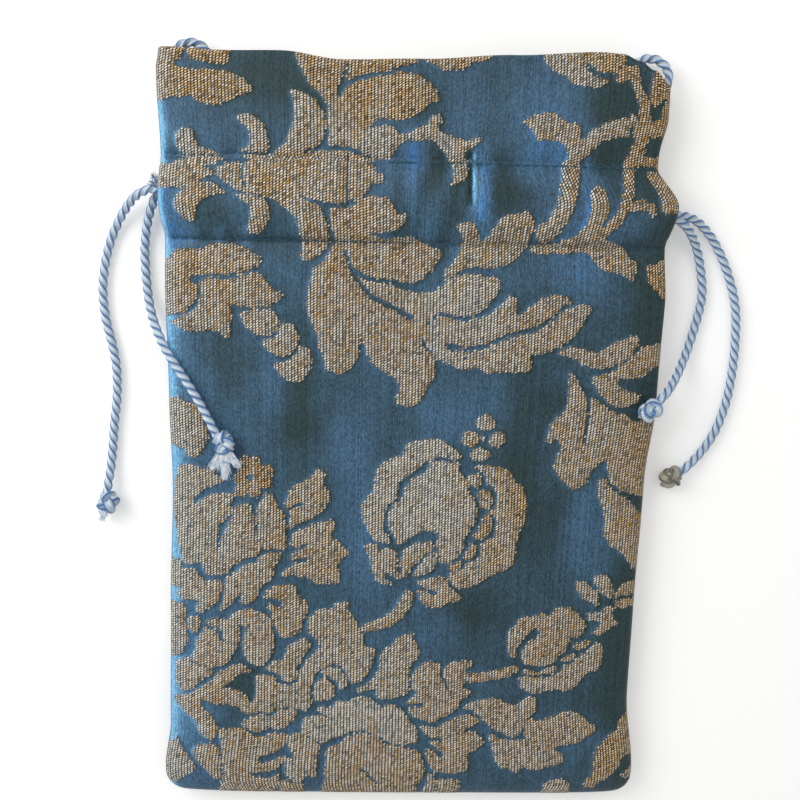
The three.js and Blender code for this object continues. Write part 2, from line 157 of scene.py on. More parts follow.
def bottom_share(y):
    return np.clip((y - BOTTOM) / BOTTOM_ROUND, 0, 1)


def closing(y):
    return turned(1 - bottom_share(y))


def edge_fade(share):
    return ease(0, 0.7, turned(share))


def side_x(share, y):
    outline = np.where(share < 0, along(LEFT_SIDE, y), along(RIGHT_SIDE, y))
    cut = np.clip((BOTTOM + CORNER_RADIUS - y) / CORNER_RADIUS, 0, 1)
    return BAG_WIDTH / 2 + outline - CORNER_RADIUS * (1 - np.sqrt(1 - cut * cut))


def seam_z(y):
    neck = (NECK_SEAM - BODY_SEAM) * ease(HEM_END - 30, LOWER_ROW + 5, y)
    return BODY_SEAM + neck + (MOUTH_SEAM - NECK_SEAM) * ease(UPPER_ROW - 3, TOP - 8, y)


def seam_slit(y):
    return SEAM_GAP + (HEADER_SLIT - SEAM_GAP) * ease(UPPER_ROW + 4, UPPER_ROW + 0.6 * HEADER, y)


def channel_room(share, y):
    offset = np.minimum(1, np.abs(y - CHANNEL_MID) / (CHANNEL / 2))
    room = CHANNEL_ROOM * (1 - offset ** 2.6) ** (1 / 2.6)
    return room * np.sqrt(1 - np.minimum(1, np.abs(share)) ** 8)


def opening(y):
    offset = np.minimum(1, np.abs(y - CHANNEL_MID) / (OPENING_LENGTH / 2))
    return OPENING_RISE * np.sqrt(1 - offset * offset)


def crown(y):
    neck = (NECK_CROWN - BODY_CROWN) * ease(HEM_END - 30, LOWER_ROW, y)
    below = ROW_PUFF * ease(LOWER_ROW - 30, LOWER_ROW - 12, y) * (1 - ease(LOWER_ROW - 8, LOWER_ROW, y))
    above = ROW_PUFF * ease(UPPER_ROW, UPPER_ROW + 7, y) * (1 - ease(UPPER_ROW + 10, TOP, y))
    return BODY_CROWN + neck + below + above + channel_room(0, y)


def stitch_y(x, ends):
    return ends[0] + (ends[1] - ends[0]) * (x / BAG_WIDTH + 0.5)


# The stitch rows pull the cloth in and pucker it; the tucks are sharp creases.
def soft_folds(x, y):
    rise = np.zeros_like(x)
    for across, row, half_width, half_length, height in FOLDS:
        rise += height * np.exp(-((x - across) / half_width) ** 2 - ((y - row) / half_length) ** 2)
    for ends in STITCH_ROWS:
        row = stitch_y(x, ends)
        beside = np.exp(-((y - row) / PUCKER_REACH) ** 2)
        rise += PUCKER_HEIGHT * beside * np.sin(x / 1.7 + 1.3 * np.sin(x / 6.1 + ends[0]))
        rise -= ROW_SINK * np.exp(-((y - row) / ROW_SINK_REACH) ** 2)
    for across, low, high in TUCKS:
        length = ease(low - 2, low + 2, y) * (1 - ease(high - 2, high + 2, y))
        crease = TUCK_SINK * np.exp(-((x - across) / TUCK_CREASE) ** 2)
        shoulder = TUCK_SHOULDER * np.exp(-((x - across) / TUCK_REACH) ** 2)
        rise -= length * (crease - shoulder)
    return rise


def row_y(share, y):
    lift = BOTTOM_LIFT * (1 - ease(BOTTOM, BOTTOM + 30, y))
    return y + lift - along(TOP_EDGE, share) * ease(UPPER_ROW + 2, TOP, y)


# A point of the front sheet: inset is the way in from the outline, depth the way in from the outer face.
def front_point(share, y, inset, depth, hem):
    gap = opening(y) * (0 if hem else 1)
    seam = seam_z(y) + seam_slit(y) / 2
    edge = seam + gap
    x = share * (side_x(share, y) - inset)
    fold = soft_folds(x, y) * edge_fade(share) * ease(BOTTOM + 4, BOTTOM + BOTTOM_ROUND, y)
    room = channel_room(share, y) if hem else 0
    outer = edge + (crown(y) - edge) * closing(y) * turned(share)
    if hem:
        fold = fold * (1 - room / CHANNEL_ROOM)
    z = outer + fold - (depth + room) * edge_fade(share) * closing(y)
    return np.stack([x, row_y(share, y) + inset * (1 - bottom_share(y)), z], -1)


# The back sheet lies flat on the table and turns up to the seams.
def back_point(share, y, inset, depth, hem):
    gap = opening(y) * (0 if hem else 1)
    edge = seam_z(y) - seam_slit(y) / 2 - gap
    room = channel_room(share, y) if hem else 0
    outer = np.maximum(0, edge - (edge + FLATTEN) * closing(y) * turned(share))
    x = share * (side_x(share, y) - inset)
    z = outer + (depth + room) * edge_fade(share) * closing(y)
    return np.stack([x, row_y(share, y) + inset * (1 - bottom_share(y)), z], -1)


# Woven flowers and leaves: outline points across and up the cloth, and how ochre their threads are.
MOTIFS = [
    (0.75, [
        (-84, 127), (-73.6, 127), (-74.4, 122.6), (-77.4, 120.4), (-77.2, 119.4), (-74, 118.8),
        (-70, 118.3), (-65.2, 118.4), (-60.9, 118.1), (-57, 116.8), (-54.6, 115), (-52.9, 112.6),
        (-55, 111.1), (-57.5, 110.2), (-59.6, 109.1), (-62.7, 108), (-65.3, 107.7), (-68.4, 108.1),
        (-70.9, 109.1), (-72.4, 110.2), (-77.7, 109.7), (-84, 110),
    ]),
    (0.9, [
        (-73, 127), (-73, 123.1), (-72.1, 121.6), (-69, 120.9), (-65.2, 120.3), (-61.5, 120.2), (-60.2, 122),
        (-59.6, 124), (-57, 127),
    ]),
    (0.35, [
        (-72.4, 100.9), (-70.9, 99.1), (-70.6, 96.9), (-69.3, 95), (-65.9, 94.1), (-63.4, 92.8),
        (-59.6, 92.5), (-62.1, 90.9), (-65.2, 89.3), (-68.7, 89.1), (-69, 91.1), (-72.7, 91.4),
        (-75.2, 92.5), (-76.5, 95), (-76.9, 98.1), (-75.6, 100),
    ]),
    (0.6, [
        (-86, 89.5), (-82.5, 89.5), (-77.7, 90), (-73.4, 91.5), (-69, 91.5), (-69, 89), (-65.2, 88.1),
        (-65, 86.3), (-68.4, 85.3), (-69, 84.1), (-64.6, 84.1), (-62.7, 81.9), (-60.9, 80.8),
        (-65.2, 80), (-68.4, 78.1), (-70.2, 75.6), (-70.5, 72.5), (-72.7, 71.9), (-75.9, 74.4),
        (-77.1, 76.9), (-76.5, 79.4), (-74.6, 81.9), (-79, 82.2), (-86, 82),
    ]),
    (0.35, [
        (-64.3, 86.9), (-62.1, 89.4), (-59, 90.6), (-56.5, 90.3), (-55.6, 88.8), (-56.2, 86.2), (-55.2, 83.7),
        (-53.4, 81.3), (-56.5, 81.6), (-59.6, 83.1), (-62.1, 85),
    ]),
    (0.55, [
        (-54.8, 90.6), (-51.5, 91.9), (-47.7, 93.1), (-44, 95), (-41, 96.5), (-37.7, 93.5), (-33, 94.2),
        (-29, 94.7), (-25.2, 94.7), (-22.1, 94.1), (-19, 93.4), (-16.5, 92.2), (-14.9, 90.6), (-13.7, 88.4),
        (-11.2, 86.9), (-12.7, 85), (-15.6, 83.7), (-17.1, 81.6), (-19.6, 80), (-22.7, 78.6), (-26, 78.3),
        (-29.6, 78.6), (-33.4, 79.3), (-36.5, 80.2), (-40, 79), (-44, 78.1), (-47.7, 79.7), (-51.2, 80.6),
        (-53, 81.5), (-54.6, 84), (-55.4, 86.5),
    ]),
    (0.3, [
        (-40.9, 112.5), (-37.7, 112.8), (-34, 110.6), (-30.9, 106.9), (-29.9, 103.1), (-30.2, 99.4),
        (-32.1, 96.2), (-35.9, 94.4), (-37.7, 92.5), (-44, 93), (-44, 95), (-41.5, 98.7), (-39.9, 105),
        (-40.2, 109.4),
    ]),
    (0.5, [
        (-44, 78.1), (-40.2, 75), (-37.8, 70), (-37.1, 64), (-37.2, 60.4), (-34, 60.7), (-30.9, 62.6),
        (-29, 64.8), (-28.4, 69.4), (-29.6, 73.7), (-32.1, 77.5), (-35.6, 79.3), (-38, 80.5), (-41, 80),
    ]),
    (0.3, [
        (-57.7, 104.1), (-55.6, 105), (-52.1, 104.7), (-49.6, 102.5), (-48.1, 99.4), (-47.6, 95.9),
        (-49, 93.1), (-52.1, 93.4), (-57.1, 93.7), (-54, 95.6), (-53.4, 98.7), (-54.9, 101.6),
        (-57.1, 103.1),
    ]),
    (0.3, [
        (-58, 80.3), (-54, 80.9), (-50.2, 80.3), (-47.7, 77.8), (-47.1, 74.4), (-48.4, 70.9), (-50.9, 68.4),
        (-54.6, 69.4), (-53.4, 71.9), (-53.4, 75.6), (-54.6, 78.1), (-57.1, 79.4),
    ]),
    (0.5, [
        (-39.3, 127), (-39.3, 123.7), (-38.1, 120), (-35.9, 115.9), (-32.1, 111.9), (-29.6, 108.7),
        (-29.3, 105), (-28.7, 100), (-29, 95.9), (-25.2, 96.2), (-19.9, 95.8), (-19, 100), (-16.5, 102),
        (-20, 106), (-25.6, 110), (-26.5, 113.7), (-24.6, 118.1), (-23, 121.5), (-23.5, 127),
    ]),
    (0.8, [
        (-22.6, 127), (-22.8, 121), (-23.4, 116.2), (-19.9, 117.8), (-15.9, 118.4), (-12.1, 118.7),
        (-8.4, 120), (-4.9, 121.2), (-1.5, 122.2), (0.4, 124), (0.5, 127),
    ]),
    (0.8, [
        (0.3, 127), (0.4, 122.8), (3.5, 121.6), (5.1, 120.3), (8.5, 119.9), (12.2, 120.1), (14.1, 121.2),
        (16, 122.2), (21, 123.7), (23, 127),
    ]),
    (0.75, [
        (5.4, 110.6), (4.7, 113.1), (2.2, 115.9), (-0.9, 118.1), (-4, 118.9), (-8.4, 118.7),
        (-12.4, 117.6), (-16.5, 116.9), (-20.2, 115.6), (-23.1, 114.4), (-24.9, 111.9), (-25.6, 110),
        (-24, 104), (-20, 101), (-16.5, 102), (-14.6, 104.1), (-12.1, 104.9), (-8.4, 104.4),
        (-4.9, 104.7), (-2.1, 105.6), (0.4, 107.5), (2.2, 109.7),
    ]),
    (0.3, [
        (-16.5, 101.9), (-13.4, 102.5), (-10.2, 102.8), (-8.1, 101.9), (-6.8, 100.3), (-4, 100.6),
        (-1.5, 101.9), (1, 103.1), (2.6, 105), (4.1, 106.4), (6, 106.2), (6.6, 104.4), (5.4, 102.2),
        (7.2, 100.6), (11, 99.4), (14.1, 98.4), (16.6, 99.1), (18.5, 100.1), (19.2, 99.4), (17.6, 97.2),
        (14.7, 95.6), (14.1, 93.1), (15.1, 90), (14.1, 86.9), (11, 85.1), (9.4, 85.1), (10.4, 87.5),
        (9.7, 91.2), (8.5, 93.7), (6.6, 95.9), (4.1, 97.8), (0.4, 98.4), (-2.7, 98.1), (-5.9, 97.5),
        (-7.7, 95.6), (-9, 93.1), (-10.9, 91.9), (-14, 92.2), (-16.5, 93.1), (-19, 94.4), (-20.9, 96.5),
        (-20, 100),
    ]),
    (0.55, [
        (-28, 76.5), (-22.7, 77.2), (-19.6, 79.4), (-16.5, 80.6), (-13.4, 80.9), (-9.9, 80),
        (-8.1, 77.5), (-6.8, 75.3), (-4.9, 75.6), (-4.3, 74.4), (-5.6, 71.9), (-7.7, 70), (-10.9, 69.4),
        (-14, 69.7), (-17, 68), (-22, 65), (-25.5, 66), (-27.5, 70),
    ]),
    (0.6, [
        (-24, 66), (-22.1, 61), (-19.6, 57.9), (-16.5, 56), (-12.7, 54.9), (-9.6, 54.9), (-5.2, 54.1),
        (-1.5, 53.7), (1, 54.7), (3.5, 56.6), (5.4, 59.1), (6.9, 61.3), (7.9, 63.5), (5, 65), (1.6, 66.6),
        (-2.1, 68.1), (-7.1, 68.2), (-11, 67.8), (-14.6, 68.6), (-19, 69.5),
    ]),
    (0.6, [
        (11.3, 71.9), (13.5, 73.2), (16, 73.3), (17.9, 71.9), (18.8, 69.4), (20, 67.5), (22.2, 70),
        (24.7, 73.7), (27.2, 75.5), (30.4, 76.2), (32.2, 76.3), (33.6, 77.2), (34.6, 76.4),
        (35.8, 74.4), (36.3, 71.6), (35.2, 69.5), (34.7, 67.4), (34, 65.8), (31, 62.2), (28.5, 60.1),
        (24.1, 59.1), (20.4, 59.1), (16.6, 58.8), (13.5, 57.9), (11, 56), (8.8, 55), (8.2, 56.6),
        (10, 59.4), (12.2, 62.2), (13.5, 64.8), (13.8, 68), (13.2, 70.3),
    ]),
    (0.45, [
        (37.1, 127), (37.1, 125.1), (38.5, 122.5), (40.1, 120.6), (42.9, 119.5), (45.4, 118.4), (47.6, 116.6),
        (51, 115.6), (54.1, 115.7), (57.2, 116.7), (58.5, 118.1), (56, 118.4), (53.5, 119.4), (51.3, 120.9),
        (50.4, 122.8), (50, 124), (50, 127),
    ]),
    (0.8, [
        (50.4, 127), (50.2, 123.1), (52.9, 121.9), (55.4, 120.6), (59.7, 120.1), (62.2, 120.6), (63.2, 123.1),
        (63.6, 125.3), (66, 127),
    ]),
    (0.8, [
        (73.6, 124.2), (78, 122.6), (84, 120), (84, 113.5), (77, 112.8), (74.6, 110.6), (72.4, 110.9),
        (71.6, 113.5), (72.4, 119),
    ]),
    (0.45, [
        (31.7, 104.7), (34.1, 106.2), (37.2, 107.4), (40.4, 107.6), (43.5, 106.6), (45.4, 105),
        (48.8, 104.7), (50.1, 102.5), (50.4, 100.3), (51.9, 100.3), (53.5, 102.5), (57.2, 104.7),
        (60.4, 105.9), (63.5, 106.7), (65.1, 105.9), (65.7, 103.1), (65.1, 100.9), (62.2, 100.6),
        (59.1, 100), (56, 98.1), (53.5, 95.9), (51, 93.1), (50.1, 91.2), (49.7, 86.2), (49.4, 81.9),
        (48.5, 78.1), (46.6, 74.4), (44.4, 70.6), (42.2, 68.4), (40, 67.3), (37.9, 67.2), (36.9, 70),
        (37, 72.5), (38.5, 73.4), (40.1, 73.6), (41.3, 76.2), (43.2, 80), (43.8, 83.7), (44.1, 87.5),
        (44.7, 91.2), (46.3, 94.4), (45.4, 96.6), (43.5, 98.7), (40.4, 99.1), (37.2, 99.1),
        (35.4, 101.2), (34.1, 103.1),
    ]),
    (0.45, [
        (55.4, 85.6), (57.2, 84.7), (58.8, 81.9), (59.7, 78.1), (58.8, 75), (57.6, 72.5), (57.9, 70),
        (59.7, 68.4), (57, 66), (50, 66.5), (46.6, 68.2), (49.7, 70), (52.2, 73.1), (53.5, 76.2), (53.8, 80),
        (53.5, 83.4),
    ]),
    (0.5, [
        (46.6, 68.4), (44.1, 67.5), (41.6, 66.6), (37.2, 65.9), (35.6, 65.2), (36.5, 64.4), (39.7, 63.5),
        (42.9, 64.1), (47.2, 63.8), (51, 64.6), (54.7, 63.8), (56.6, 61.6), (58.5, 59.7), (61, 58.5),
        (64.7, 57.9), (67.2, 56.9), (69.1, 55.7), (70.4, 57.9), (70.4, 61), (67.9, 62.9), (66.8, 65.2),
        (63.5, 67.5), (61, 68.1), (56, 68.5), (51, 68.5),
    ]),
    (0.55, [
        (71.6, 90), (74.1, 90.3), (76, 89.4), (79.1, 86.2), (81.3, 82.5), (82.5, 78.1), (79.7, 76.9),
        (77.2, 77.2), (76.3, 80.6), (75.1, 83.7), (72.9, 86.9),
    ]),
    (0.9, [
        (73.8, 60.1), (76, 61), (79.1, 62.2), (84, 62), (84, 50), (79.6, 50.4), (77.9, 52.2), (75.4, 54.1),
        (74.1, 57.2),
    ]),
    (0.5, [
        (-79.9, 60.4), (-77.7, 62.6), (-74.6, 63.4), (-71.5, 63.4), (-69.3, 63.2), (-67.1, 64.4),
        (-63.4, 65.2), (-59, 65.1), (-55.9, 64.4), (-53.4, 62.9), (-50.9, 61.3), (-49.7, 60.2),
        (-51.2, 57.9), (-54, 56.9), (-57.1, 55.7), (-61.5, 55.2), (-65.2, 55.2), (-68.4, 55.1),
        (-71.5, 54.7), (-73.1, 53.5), (-70.9, 51.6), (-70.2, 49.1), (-71.5, 46), (-74, 43.5),
        (-77.1, 42.2), (-80.2, 41.6), (-84, 41.5), (-84, 58),
    ]),
    (0.5, [
        (-69.6, 52.6), (-68.1, 53.8), (-65.2, 54.1), (-62.1, 53.6), (-59, 54.1), (-55.2, 55.4),
        (-52.1, 56.1), (-49.6, 55.4), (-48.4, 53.5), (-46.5, 51.3), (-43.1, 49.2), (-44.3, 47.2),
        (-47.7, 45.7), (-51.5, 44.9), (-55.2, 44.9), (-57.7, 45.4), (-60.2, 46), (-59.6, 43.5),
        (-59.9, 39.7), (-60.2, 36), (-61.2, 34.7), (-64, 36.6), (-66.5, 37.2), (-70.2, 36.7),
        (-74.6, 36.6), (-77.7, 38.5), (-79.6, 39.4), (-77.1, 41), (-73.4, 42.6), (-70.9, 44.7),
        (-69.6, 47.9), (-69.3, 50.4),
    ]),
    (0.35, [
        (-57.1, 43.4), (-54, 43.4), (-49.6, 44.4), (-46.5, 44.1), (-44.6, 42.2), (-44.3, 39.1), (-45.9, 36.6),
        (-49, 35.7), (-52.1, 36.3), (-54.9, 38.5), (-56.5, 41),
    ]),
    (0.35, [
        (-44, 39.4), (-41.5, 40.2), (-39.3, 38.5), (-38.1, 35.4), (-39, 31.9), (-41.5, 29.4), (-44.6, 29.1),
        (-47.7, 31), (-49.9, 33.8), (-47.7, 34.7), (-45.2, 36),
    ]),
    (0.35, [
        (-38.1, 32.2), (-35.6, 32.7), (-34, 30.4), (-33.7, 26.6), (-34.9, 23.5), (-38.4, 21), (-42.1, 21.6),
        (-44.9, 24.1), (-45.9, 27.2), (-42.7, 27.6), (-40.2, 28.5), (-38.7, 30.4),
    ]),
    (0.5, [
        (-84, 14.5), (-79.6, 14.7), (-77.4, 15.1), (-74.6, 13.5), (-71.5, 12.9), (-69.9, 10.4), (-68.4, 6.6),
        (-67.3, 2.2), (-68.8, -1.5), (-70.6, -4.2), (-72.8, -5), (-74.6, -4.2), (-75.3, -2.2), (-77.4, -2.2),
        (-79, -1), (-84, -1),
    ]),
    (0.5, [
        (-27, 65.5), (-30.2, 60.1), (-33.1, 57.9), (-34.6, 53.5), (-35.6, 48.5), (-35.2, 43.5),
        (-33.4, 39.1), (-32.1, 36), (-31.2, 31.6), (-29.6, 28.5), (-29, 25), (-26.5, 24), (-23.4, 24.1),
        (-20.9, 26), (-19, 29.1), (-18.4, 32.2), (-17.9, 35.6), (-16.8, 33.5), (-15.6, 29.7),
        (-13.4, 26.9), (-10.2, 24.7), (-7.1, 22.9), (-5.6, 21), (-4.9, 19.4), (-6.2, 16.9),
        (-5.9, 14.4), (-2.7, 13.4), (0.4, 14.1), (2.6, 16.6), (4.1, 20.1), (6, 22.9), (6.3, 26),
        (6.3, 29.1), (4.7, 31), (2.8, 33), (5, 37), (2, 42), (-2, 41.6), (-5.9, 43.8), (-10.2, 46),
        (-14.6, 48.2), (-17.7, 51.3), (-20.6, 55), (-22.1, 59.3), (-23.4, 63.2), (-24.5, 65.5),
    ]),
    (0.3, [
        (-21.5, 59), (-20.2, 56.6), (-17.7, 54.7), (-14, 53.8), (-9.6, 53.5), (-6.5, 52.2), (-2.7, 51),
        (1, 50.5), (4.1, 51), (7.2, 52.6), (9.7, 54.4), (12.9, 56.3), (16, 56.9), (19.7, 56.6),
        (22.9, 56), (25.4, 56), (26.1, 54.1), (25.7, 51), (23.5, 47.9), (21, 45.4), (18.5, 43.8),
        (14.7, 43.2), (11, 43.5), (7.2, 44.1), (4, 41), (0, 40), (-1.5, 43), (-5.5, 45.4), (-10, 47.6),
        (-14, 49.8), (-17, 52.5), (-19.5, 56),
    ]),
    (0.4, [
        (5, 42), (7.9, 43.2), (11, 42.4), (14.7, 41.6), (18.5, 42.6), (22.2, 44.4), (26, 46.6), (27.9, 48.5),
        (29.1, 50.1), (31, 50.1), (31.9, 47.9), (31.9, 44.1), (34.7, 45.1), (36.6, 47.2), (39.7, 49.4),
        (43.5, 50.4), (46.6, 50.5), (48.8, 49.6), (50, 47.9), (47.9, 47.2), (45.4, 45.4), (42.2, 42.6),
        (39.1, 40.4), (35.4, 39.1), (31, 38.5), (27.2, 36.9), (24.7, 35.1), (21, 33.8), (17.2, 33.2),
        (14.1, 33.4), (11.6, 33.8), (8, 35), (4, 35.5), (2, 38),
    ]),
    (0.45, [
        (12.6, 32.9), (16, 31.9), (19.7, 32.2), (24.7, 34.1), (27.9, 36), (31, 37.2), (35.4, 37.9),
        (39.1, 39.1), (42.2, 41), (45.4, 44.1), (49.1, 46.6), (52.9, 47.6), (56, 47.4), (56.9, 46),
        (55.4, 44.1), (54.1, 41.6), (52.2, 39.1), (50.4, 36.6), (47.2, 34.1), (42.9, 32.2),
        (39.1, 31.3), (37.2, 31), (37.6, 27.2), (36.3, 25.1), (33.5, 25.4), (29.7, 25.1), (26, 25.4),
        (24.7, 24.9), (21.6, 25.4), (19.4, 27.2), (16.5, 29.5), (13, 31.2),
    ]),
    (0.2, [
        (3.5, 33.5), (4.7, 35.4), (7.9, 35.1), (9.7, 32.9), (12.9, 31), (16.6, 29.1), (19.4, 27.2),
        (17.2, 26), (13.5, 26.3), (9.7, 27.9), (7.2, 29.7), (5.4, 31.6),
    ]),
    (0.4, [
        (45.9, 31.9), (48.5, 33.5), (51.6, 33.9), (55.4, 33.2), (58.5, 32.2), (61, 33.2), (63.5, 34.7),
        (66.6, 36.3), (69.7, 37.6), (72.2, 37.6), (73.2, 36.3), (71.9, 33.5), (70.4, 31), (68.5, 29.1),
        (64, 27.5), (61, 26.9), (57.9, 26.7), (54.7, 27.9), (51.6, 29.7), (48.5, 31),
    ]),
    (0.55, [
        (71, 31), (73.5, 33.5), (76.6, 34.6), (84, 35), (84, 28), (78.5, 27.2), (76, 25.1),
        (72.2, 23.2), (69.1, 23.5), (66.6, 22.9), (66.9, 21), (69.1, 19.7), (72.2, 18.8), (74.7, 17.9),
        (73, 15.5), (70, 14.5), (66, 14.1), (63.5, 15.4), (61, 17.9), (59.1, 20.4), (58.2, 22.2),
        (58.2, 24.1), (60.4, 24.7), (63.5, 25.4), (66, 26.9), (68.5, 29),
    ]),
    (0.5, [
        (50.4, 26), (51.9, 24.4), (53.5, 22.2), (55.1, 19.7), (56, 16.6), (57.2, 16.9), (59.7, 16.3),
        (62.9, 14.1), (66, 12.2), (69.1, 11.9), (71.6, 10.4), (73.5, 9.4), (84, 9), (84, -16.5),
        (74.1, -15.6), (71, -14.9), (69.1, -14.3), (67.3, -12.7), (65.4, -9.9), (64.8, -7.4),
        (64.4, -4.9), (63.8, -3.3), (62.9, -4.3), (60.4, -6.1), (58.8, -8.6), (57.9, -11.1), (56, -13),
        (53.5, -13.8), (51.3, -12.7), (49.4, -10.5), (47.6, -8.6), (46.6, -6.1), (46.6, -3.6),
        (47.6, -1.4), (49.1, 0.1), (47.2, 2.9), (44.7, 1.6), (43.2, 2.6), (44.1, 5.4), (44.7, 7.9),
        (46.6, 10.4), (49.1, 12.9), (50.1, 15.4), (50.2, 19.7), (50.1, 23.5),
    ]),
    (0.4, [
        (-77.4, -8), (-72.4, -7.4), (-70, -8.3), (-66.2, -8.3), (-65.2, -10.5), (-63, -12),
        (-63.4, -13.3), (-66.2, -14.4), (-68.4, -15.5), (-70.6, -17.4), (-72.7, -19.5), (-72.4, -20.4),
        (-71.2, -20), (-70, -19), (-67.4, -17.7), (-65.2, -17), (-62.4, -16.6), (-59.9, -16.1),
        (-58.7, -16.8), (-59, -18.6), (-59.9, -20.8), (-60, -23), (-61, -24.9), (-62.4, -25.8),
        (-63.7, -27.4), (-64.3, -29.3), (-64.6, -32), (-64.8, -35), (-63, -38), (-61, -41),
        (-60.5, -43), (-62.4, -44.9), (-65, -45), (-67.4, -45.2), (-69.3, -44), (-70, -41.8),
        (-71.2, -41.1), (-73.4, -41.5), (-76.2, -41.2), (-77.1, -38.6), (-77.8, -35.5), (-78.6, -30),
        (-79.5, -24), (-79.4, -18), (-78.6, -12),
    ]),
    (0.5, [
        (-59.8, -25), (-59.4, -22), (-57.2, -20.2), (-55, -19.5), (-53.4, -20.8), (-52.4, -23.6),
        (-51.2, -26), (-51.2, -30), (-51.4, -34), (-51, -37.4), (-53.4, -38.3), (-56.5, -39.6),
        (-59, -41.1), (-60.6, -42.7), (-62.2, -41), (-63.2, -38), (-64, -35), (-63.6, -32),
        (-62.8, -29), (-61.4, -27),
    ]),
    (0.55, [
        (-51.4, -23.6), (-51.4, -21), (-50, -19.5), (-49.2, -17.4), (-48.2, -16.2), (-46, -17),
        (-45.6, -19.2), (-44, -21.4), (-42.5, -23.3), (-42, -26), (-41.8, -30), (-41.9, -34),
        (-42.5, -35.8), (-45.3, -35.5), (-48, -35.5), (-50, -35.8), (-51.4, -37.4), (-51.8, -34),
        (-51.2, -30), (-50.8, -26.5),
    ]),
    (0.5, [
        (-31.2, -7.7), (-29.6, -8.6), (-28.9, -10.5), (-29, -13.6), (-27.4, -15.8), (-27.4, -18.6),
        (-28.4, -20.5), (-29.9, -22.7), (-31.5, -23.8), (-34, -25), (-36.5, -26.1), (-39, -27.1),
        (-39.9, -28.6), (-40.9, -27.4), (-40.6, -23.6), (-41.8, -22), (-42.3, -19.9), (-41.5, -17.7),
        (-41.2, -15.5), (-40.2, -14.6), (-37.8, -13), (-35.2, -11.4), (-33, -10.2), (-32.4, -8.3),
    ]),
    (0.55, [
        (-26.2, -25), (-29, -25.5), (-31.5, -26.1), (-34.6, -27.4), (-37.1, -28.6), (-39.3, -29.9),
        (-40.2, -31.8), (-40.6, -33.6), (-40, -34.6), (-37.8, -34.3), (-35, -33.5), (-34, -33.9),
        (-36.5, -35.2), (-39, -36.1), (-40.2, -37.7), (-40.9, -38.6), (-40, -39.3), (-37.8, -38.6),
        (-35.2, -38.3), (-34.6, -38.9), (-37.8, -39.9), (-40.2, -41.1), (-42.1, -42.4), (-43.1, -43.9),
        (-42.1, -44.8), (-40, -44.3), (-37.1, -45), (-34.6, -45.3), (-32.8, -46.8), (-30.2, -47.4),
        (-27, -47.2), (-24.3, -46.8), (-23.7, -44.3), (-24.6, -41.1), (-24, -39.9), (-22.1, -38),
        (-20.4, -35.8), (-22.1, -34.9), (-24, -32.7), (-26.2, -31.8), (-27.1, -30.5), (-25.9, -28.9),
        (-25.6, -26.4),
    ]),
    (0.35, [
        (-84, -40.5), (-79.6, -40.1), (-78.4, -40), (-77.1, -41.1), (-76.5, -43), (-74, -43.1),
        (-71.5, -43.9), (-70, -45.8), (-68.7, -47.1), (-65.2, -46.6), (-63.4, -47.4), (-63.1, -49.3),
        (-64, -51.8), (-64, -53.6), (-65.9, -55.8), (-68.4, -57.4), (-70, -58.3), (-71.8, -58.1),
        (-72.1, -56.8), (-71.2, -55.2), (-72.1, -54.3), (-75.9, -54.3), (-78.4, -53.3), (-79, -52.1),
        (-77.8, -51.1), (-78.1, -49.9), (-84, -49),
    ]),
    (0.5, [
        (-43.7, -36.6), (-43.5, -38), (-44, -39.6), (-45.6, -41.8), (-45.9, -44.6), (-47.1, -46.4),
        (-49, -48), (-50.9, -49.9), (-51.5, -52.4), (-53.1, -53.9), (-55.2, -54.9), (-56.8, -54.6),
        (-57.1, -53), (-56.8, -51.1), (-57.4, -50.8), (-57.8, -52.4), (-59, -53.9), (-60.6, -55.2),
        (-62.4, -56.8), (-63.7, -57.4), (-64, -56.1), (-62.8, -53.6), (-62.4, -51.1), (-62.4, -48),
        (-61.8, -45.8), (-59.9, -44.6), (-58.1, -43.3), (-57.1, -41.8), (-54.9, -40.5), (-52.1, -40.2),
        (-50.6, -38.3), (-48.4, -37.1), (-45.9, -36.4),
    ]),
    (0.55, [
        (-49.3, -51.1), (-47.8, -49.6), (-45.2, -48), (-41.5, -47.7), (-39, -48.3), (-37.8, -50.5),
        (-36.8, -52.4), (-34.9, -53.6), (-34.6, -56.1), (-34.9, -58.9), (-35.9, -60.2), (-36.3, -62.5),
        (-37.4, -64.6), (-40, -66), (-43, -66.2), (-44.8, -64.2), (-45.8, -61.4), (-46.5, -58.6),
        (-47.1, -56.8), (-49, -54.6), (-46.5, -54.6), (-44, -55.5), (-42.7, -54.9), (-44, -53.3),
        (-46.5, -52.3), (-49.3, -52.4),
    ]),
    (0.45, [
        (-84, -55), (-79.6, -55.3), (-77.1, -55.5), (-75.6, -57.1), (-75.3, -58.9), (-75.9, -61),
        (-75.4, -64.5), (-75.3, -67.6), (-75.9, -70.8), (-77.8, -73.9), (-80, -74.6), (-84, -74.5),
    ]),
    (0.6, [
        (-75, -61.1), (-73, -59.6), (-71.2, -59.9), (-70.6, -61.8), (-71.2, -64.5), (-71.8, -65.8),
        (-73.1, -65.8), (-74.6, -63.9),
    ]),
    (0.4, [
        (-72.1, -67.9), (-70.6, -65.8), (-69.4, -64.6), (-69.6, -62.6), (-68.4, -61.1), (-65.2, -60),
        (-62.1, -60.2), (-60, -61), (-58, -62.4), (-57.4, -65.8), (-58.1, -69.5), (-59.3, -72),
        (-60.6, -74.5), (-62.1, -76.7), (-65.2, -77.3), (-67.1, -78.3), (-66.2, -79.5), (-68.4, -81.4),
        (-71.5, -83.6), (-73.4, -85.8), (-75.9, -87), (-78.1, -86.1), (-79.3, -82.6), (-79.6, -79.5),
        (-78.7, -76.4), (-76.5, -74.8), (-74, -74.5), (-72.4, -71.4),
    ]),
    (0.5, [
        (-61.2, -59.6), (-59, -57.7), (-55.9, -56.8), (-53.4, -56.4), (-50.9, -57.1), (-49, -58.3),
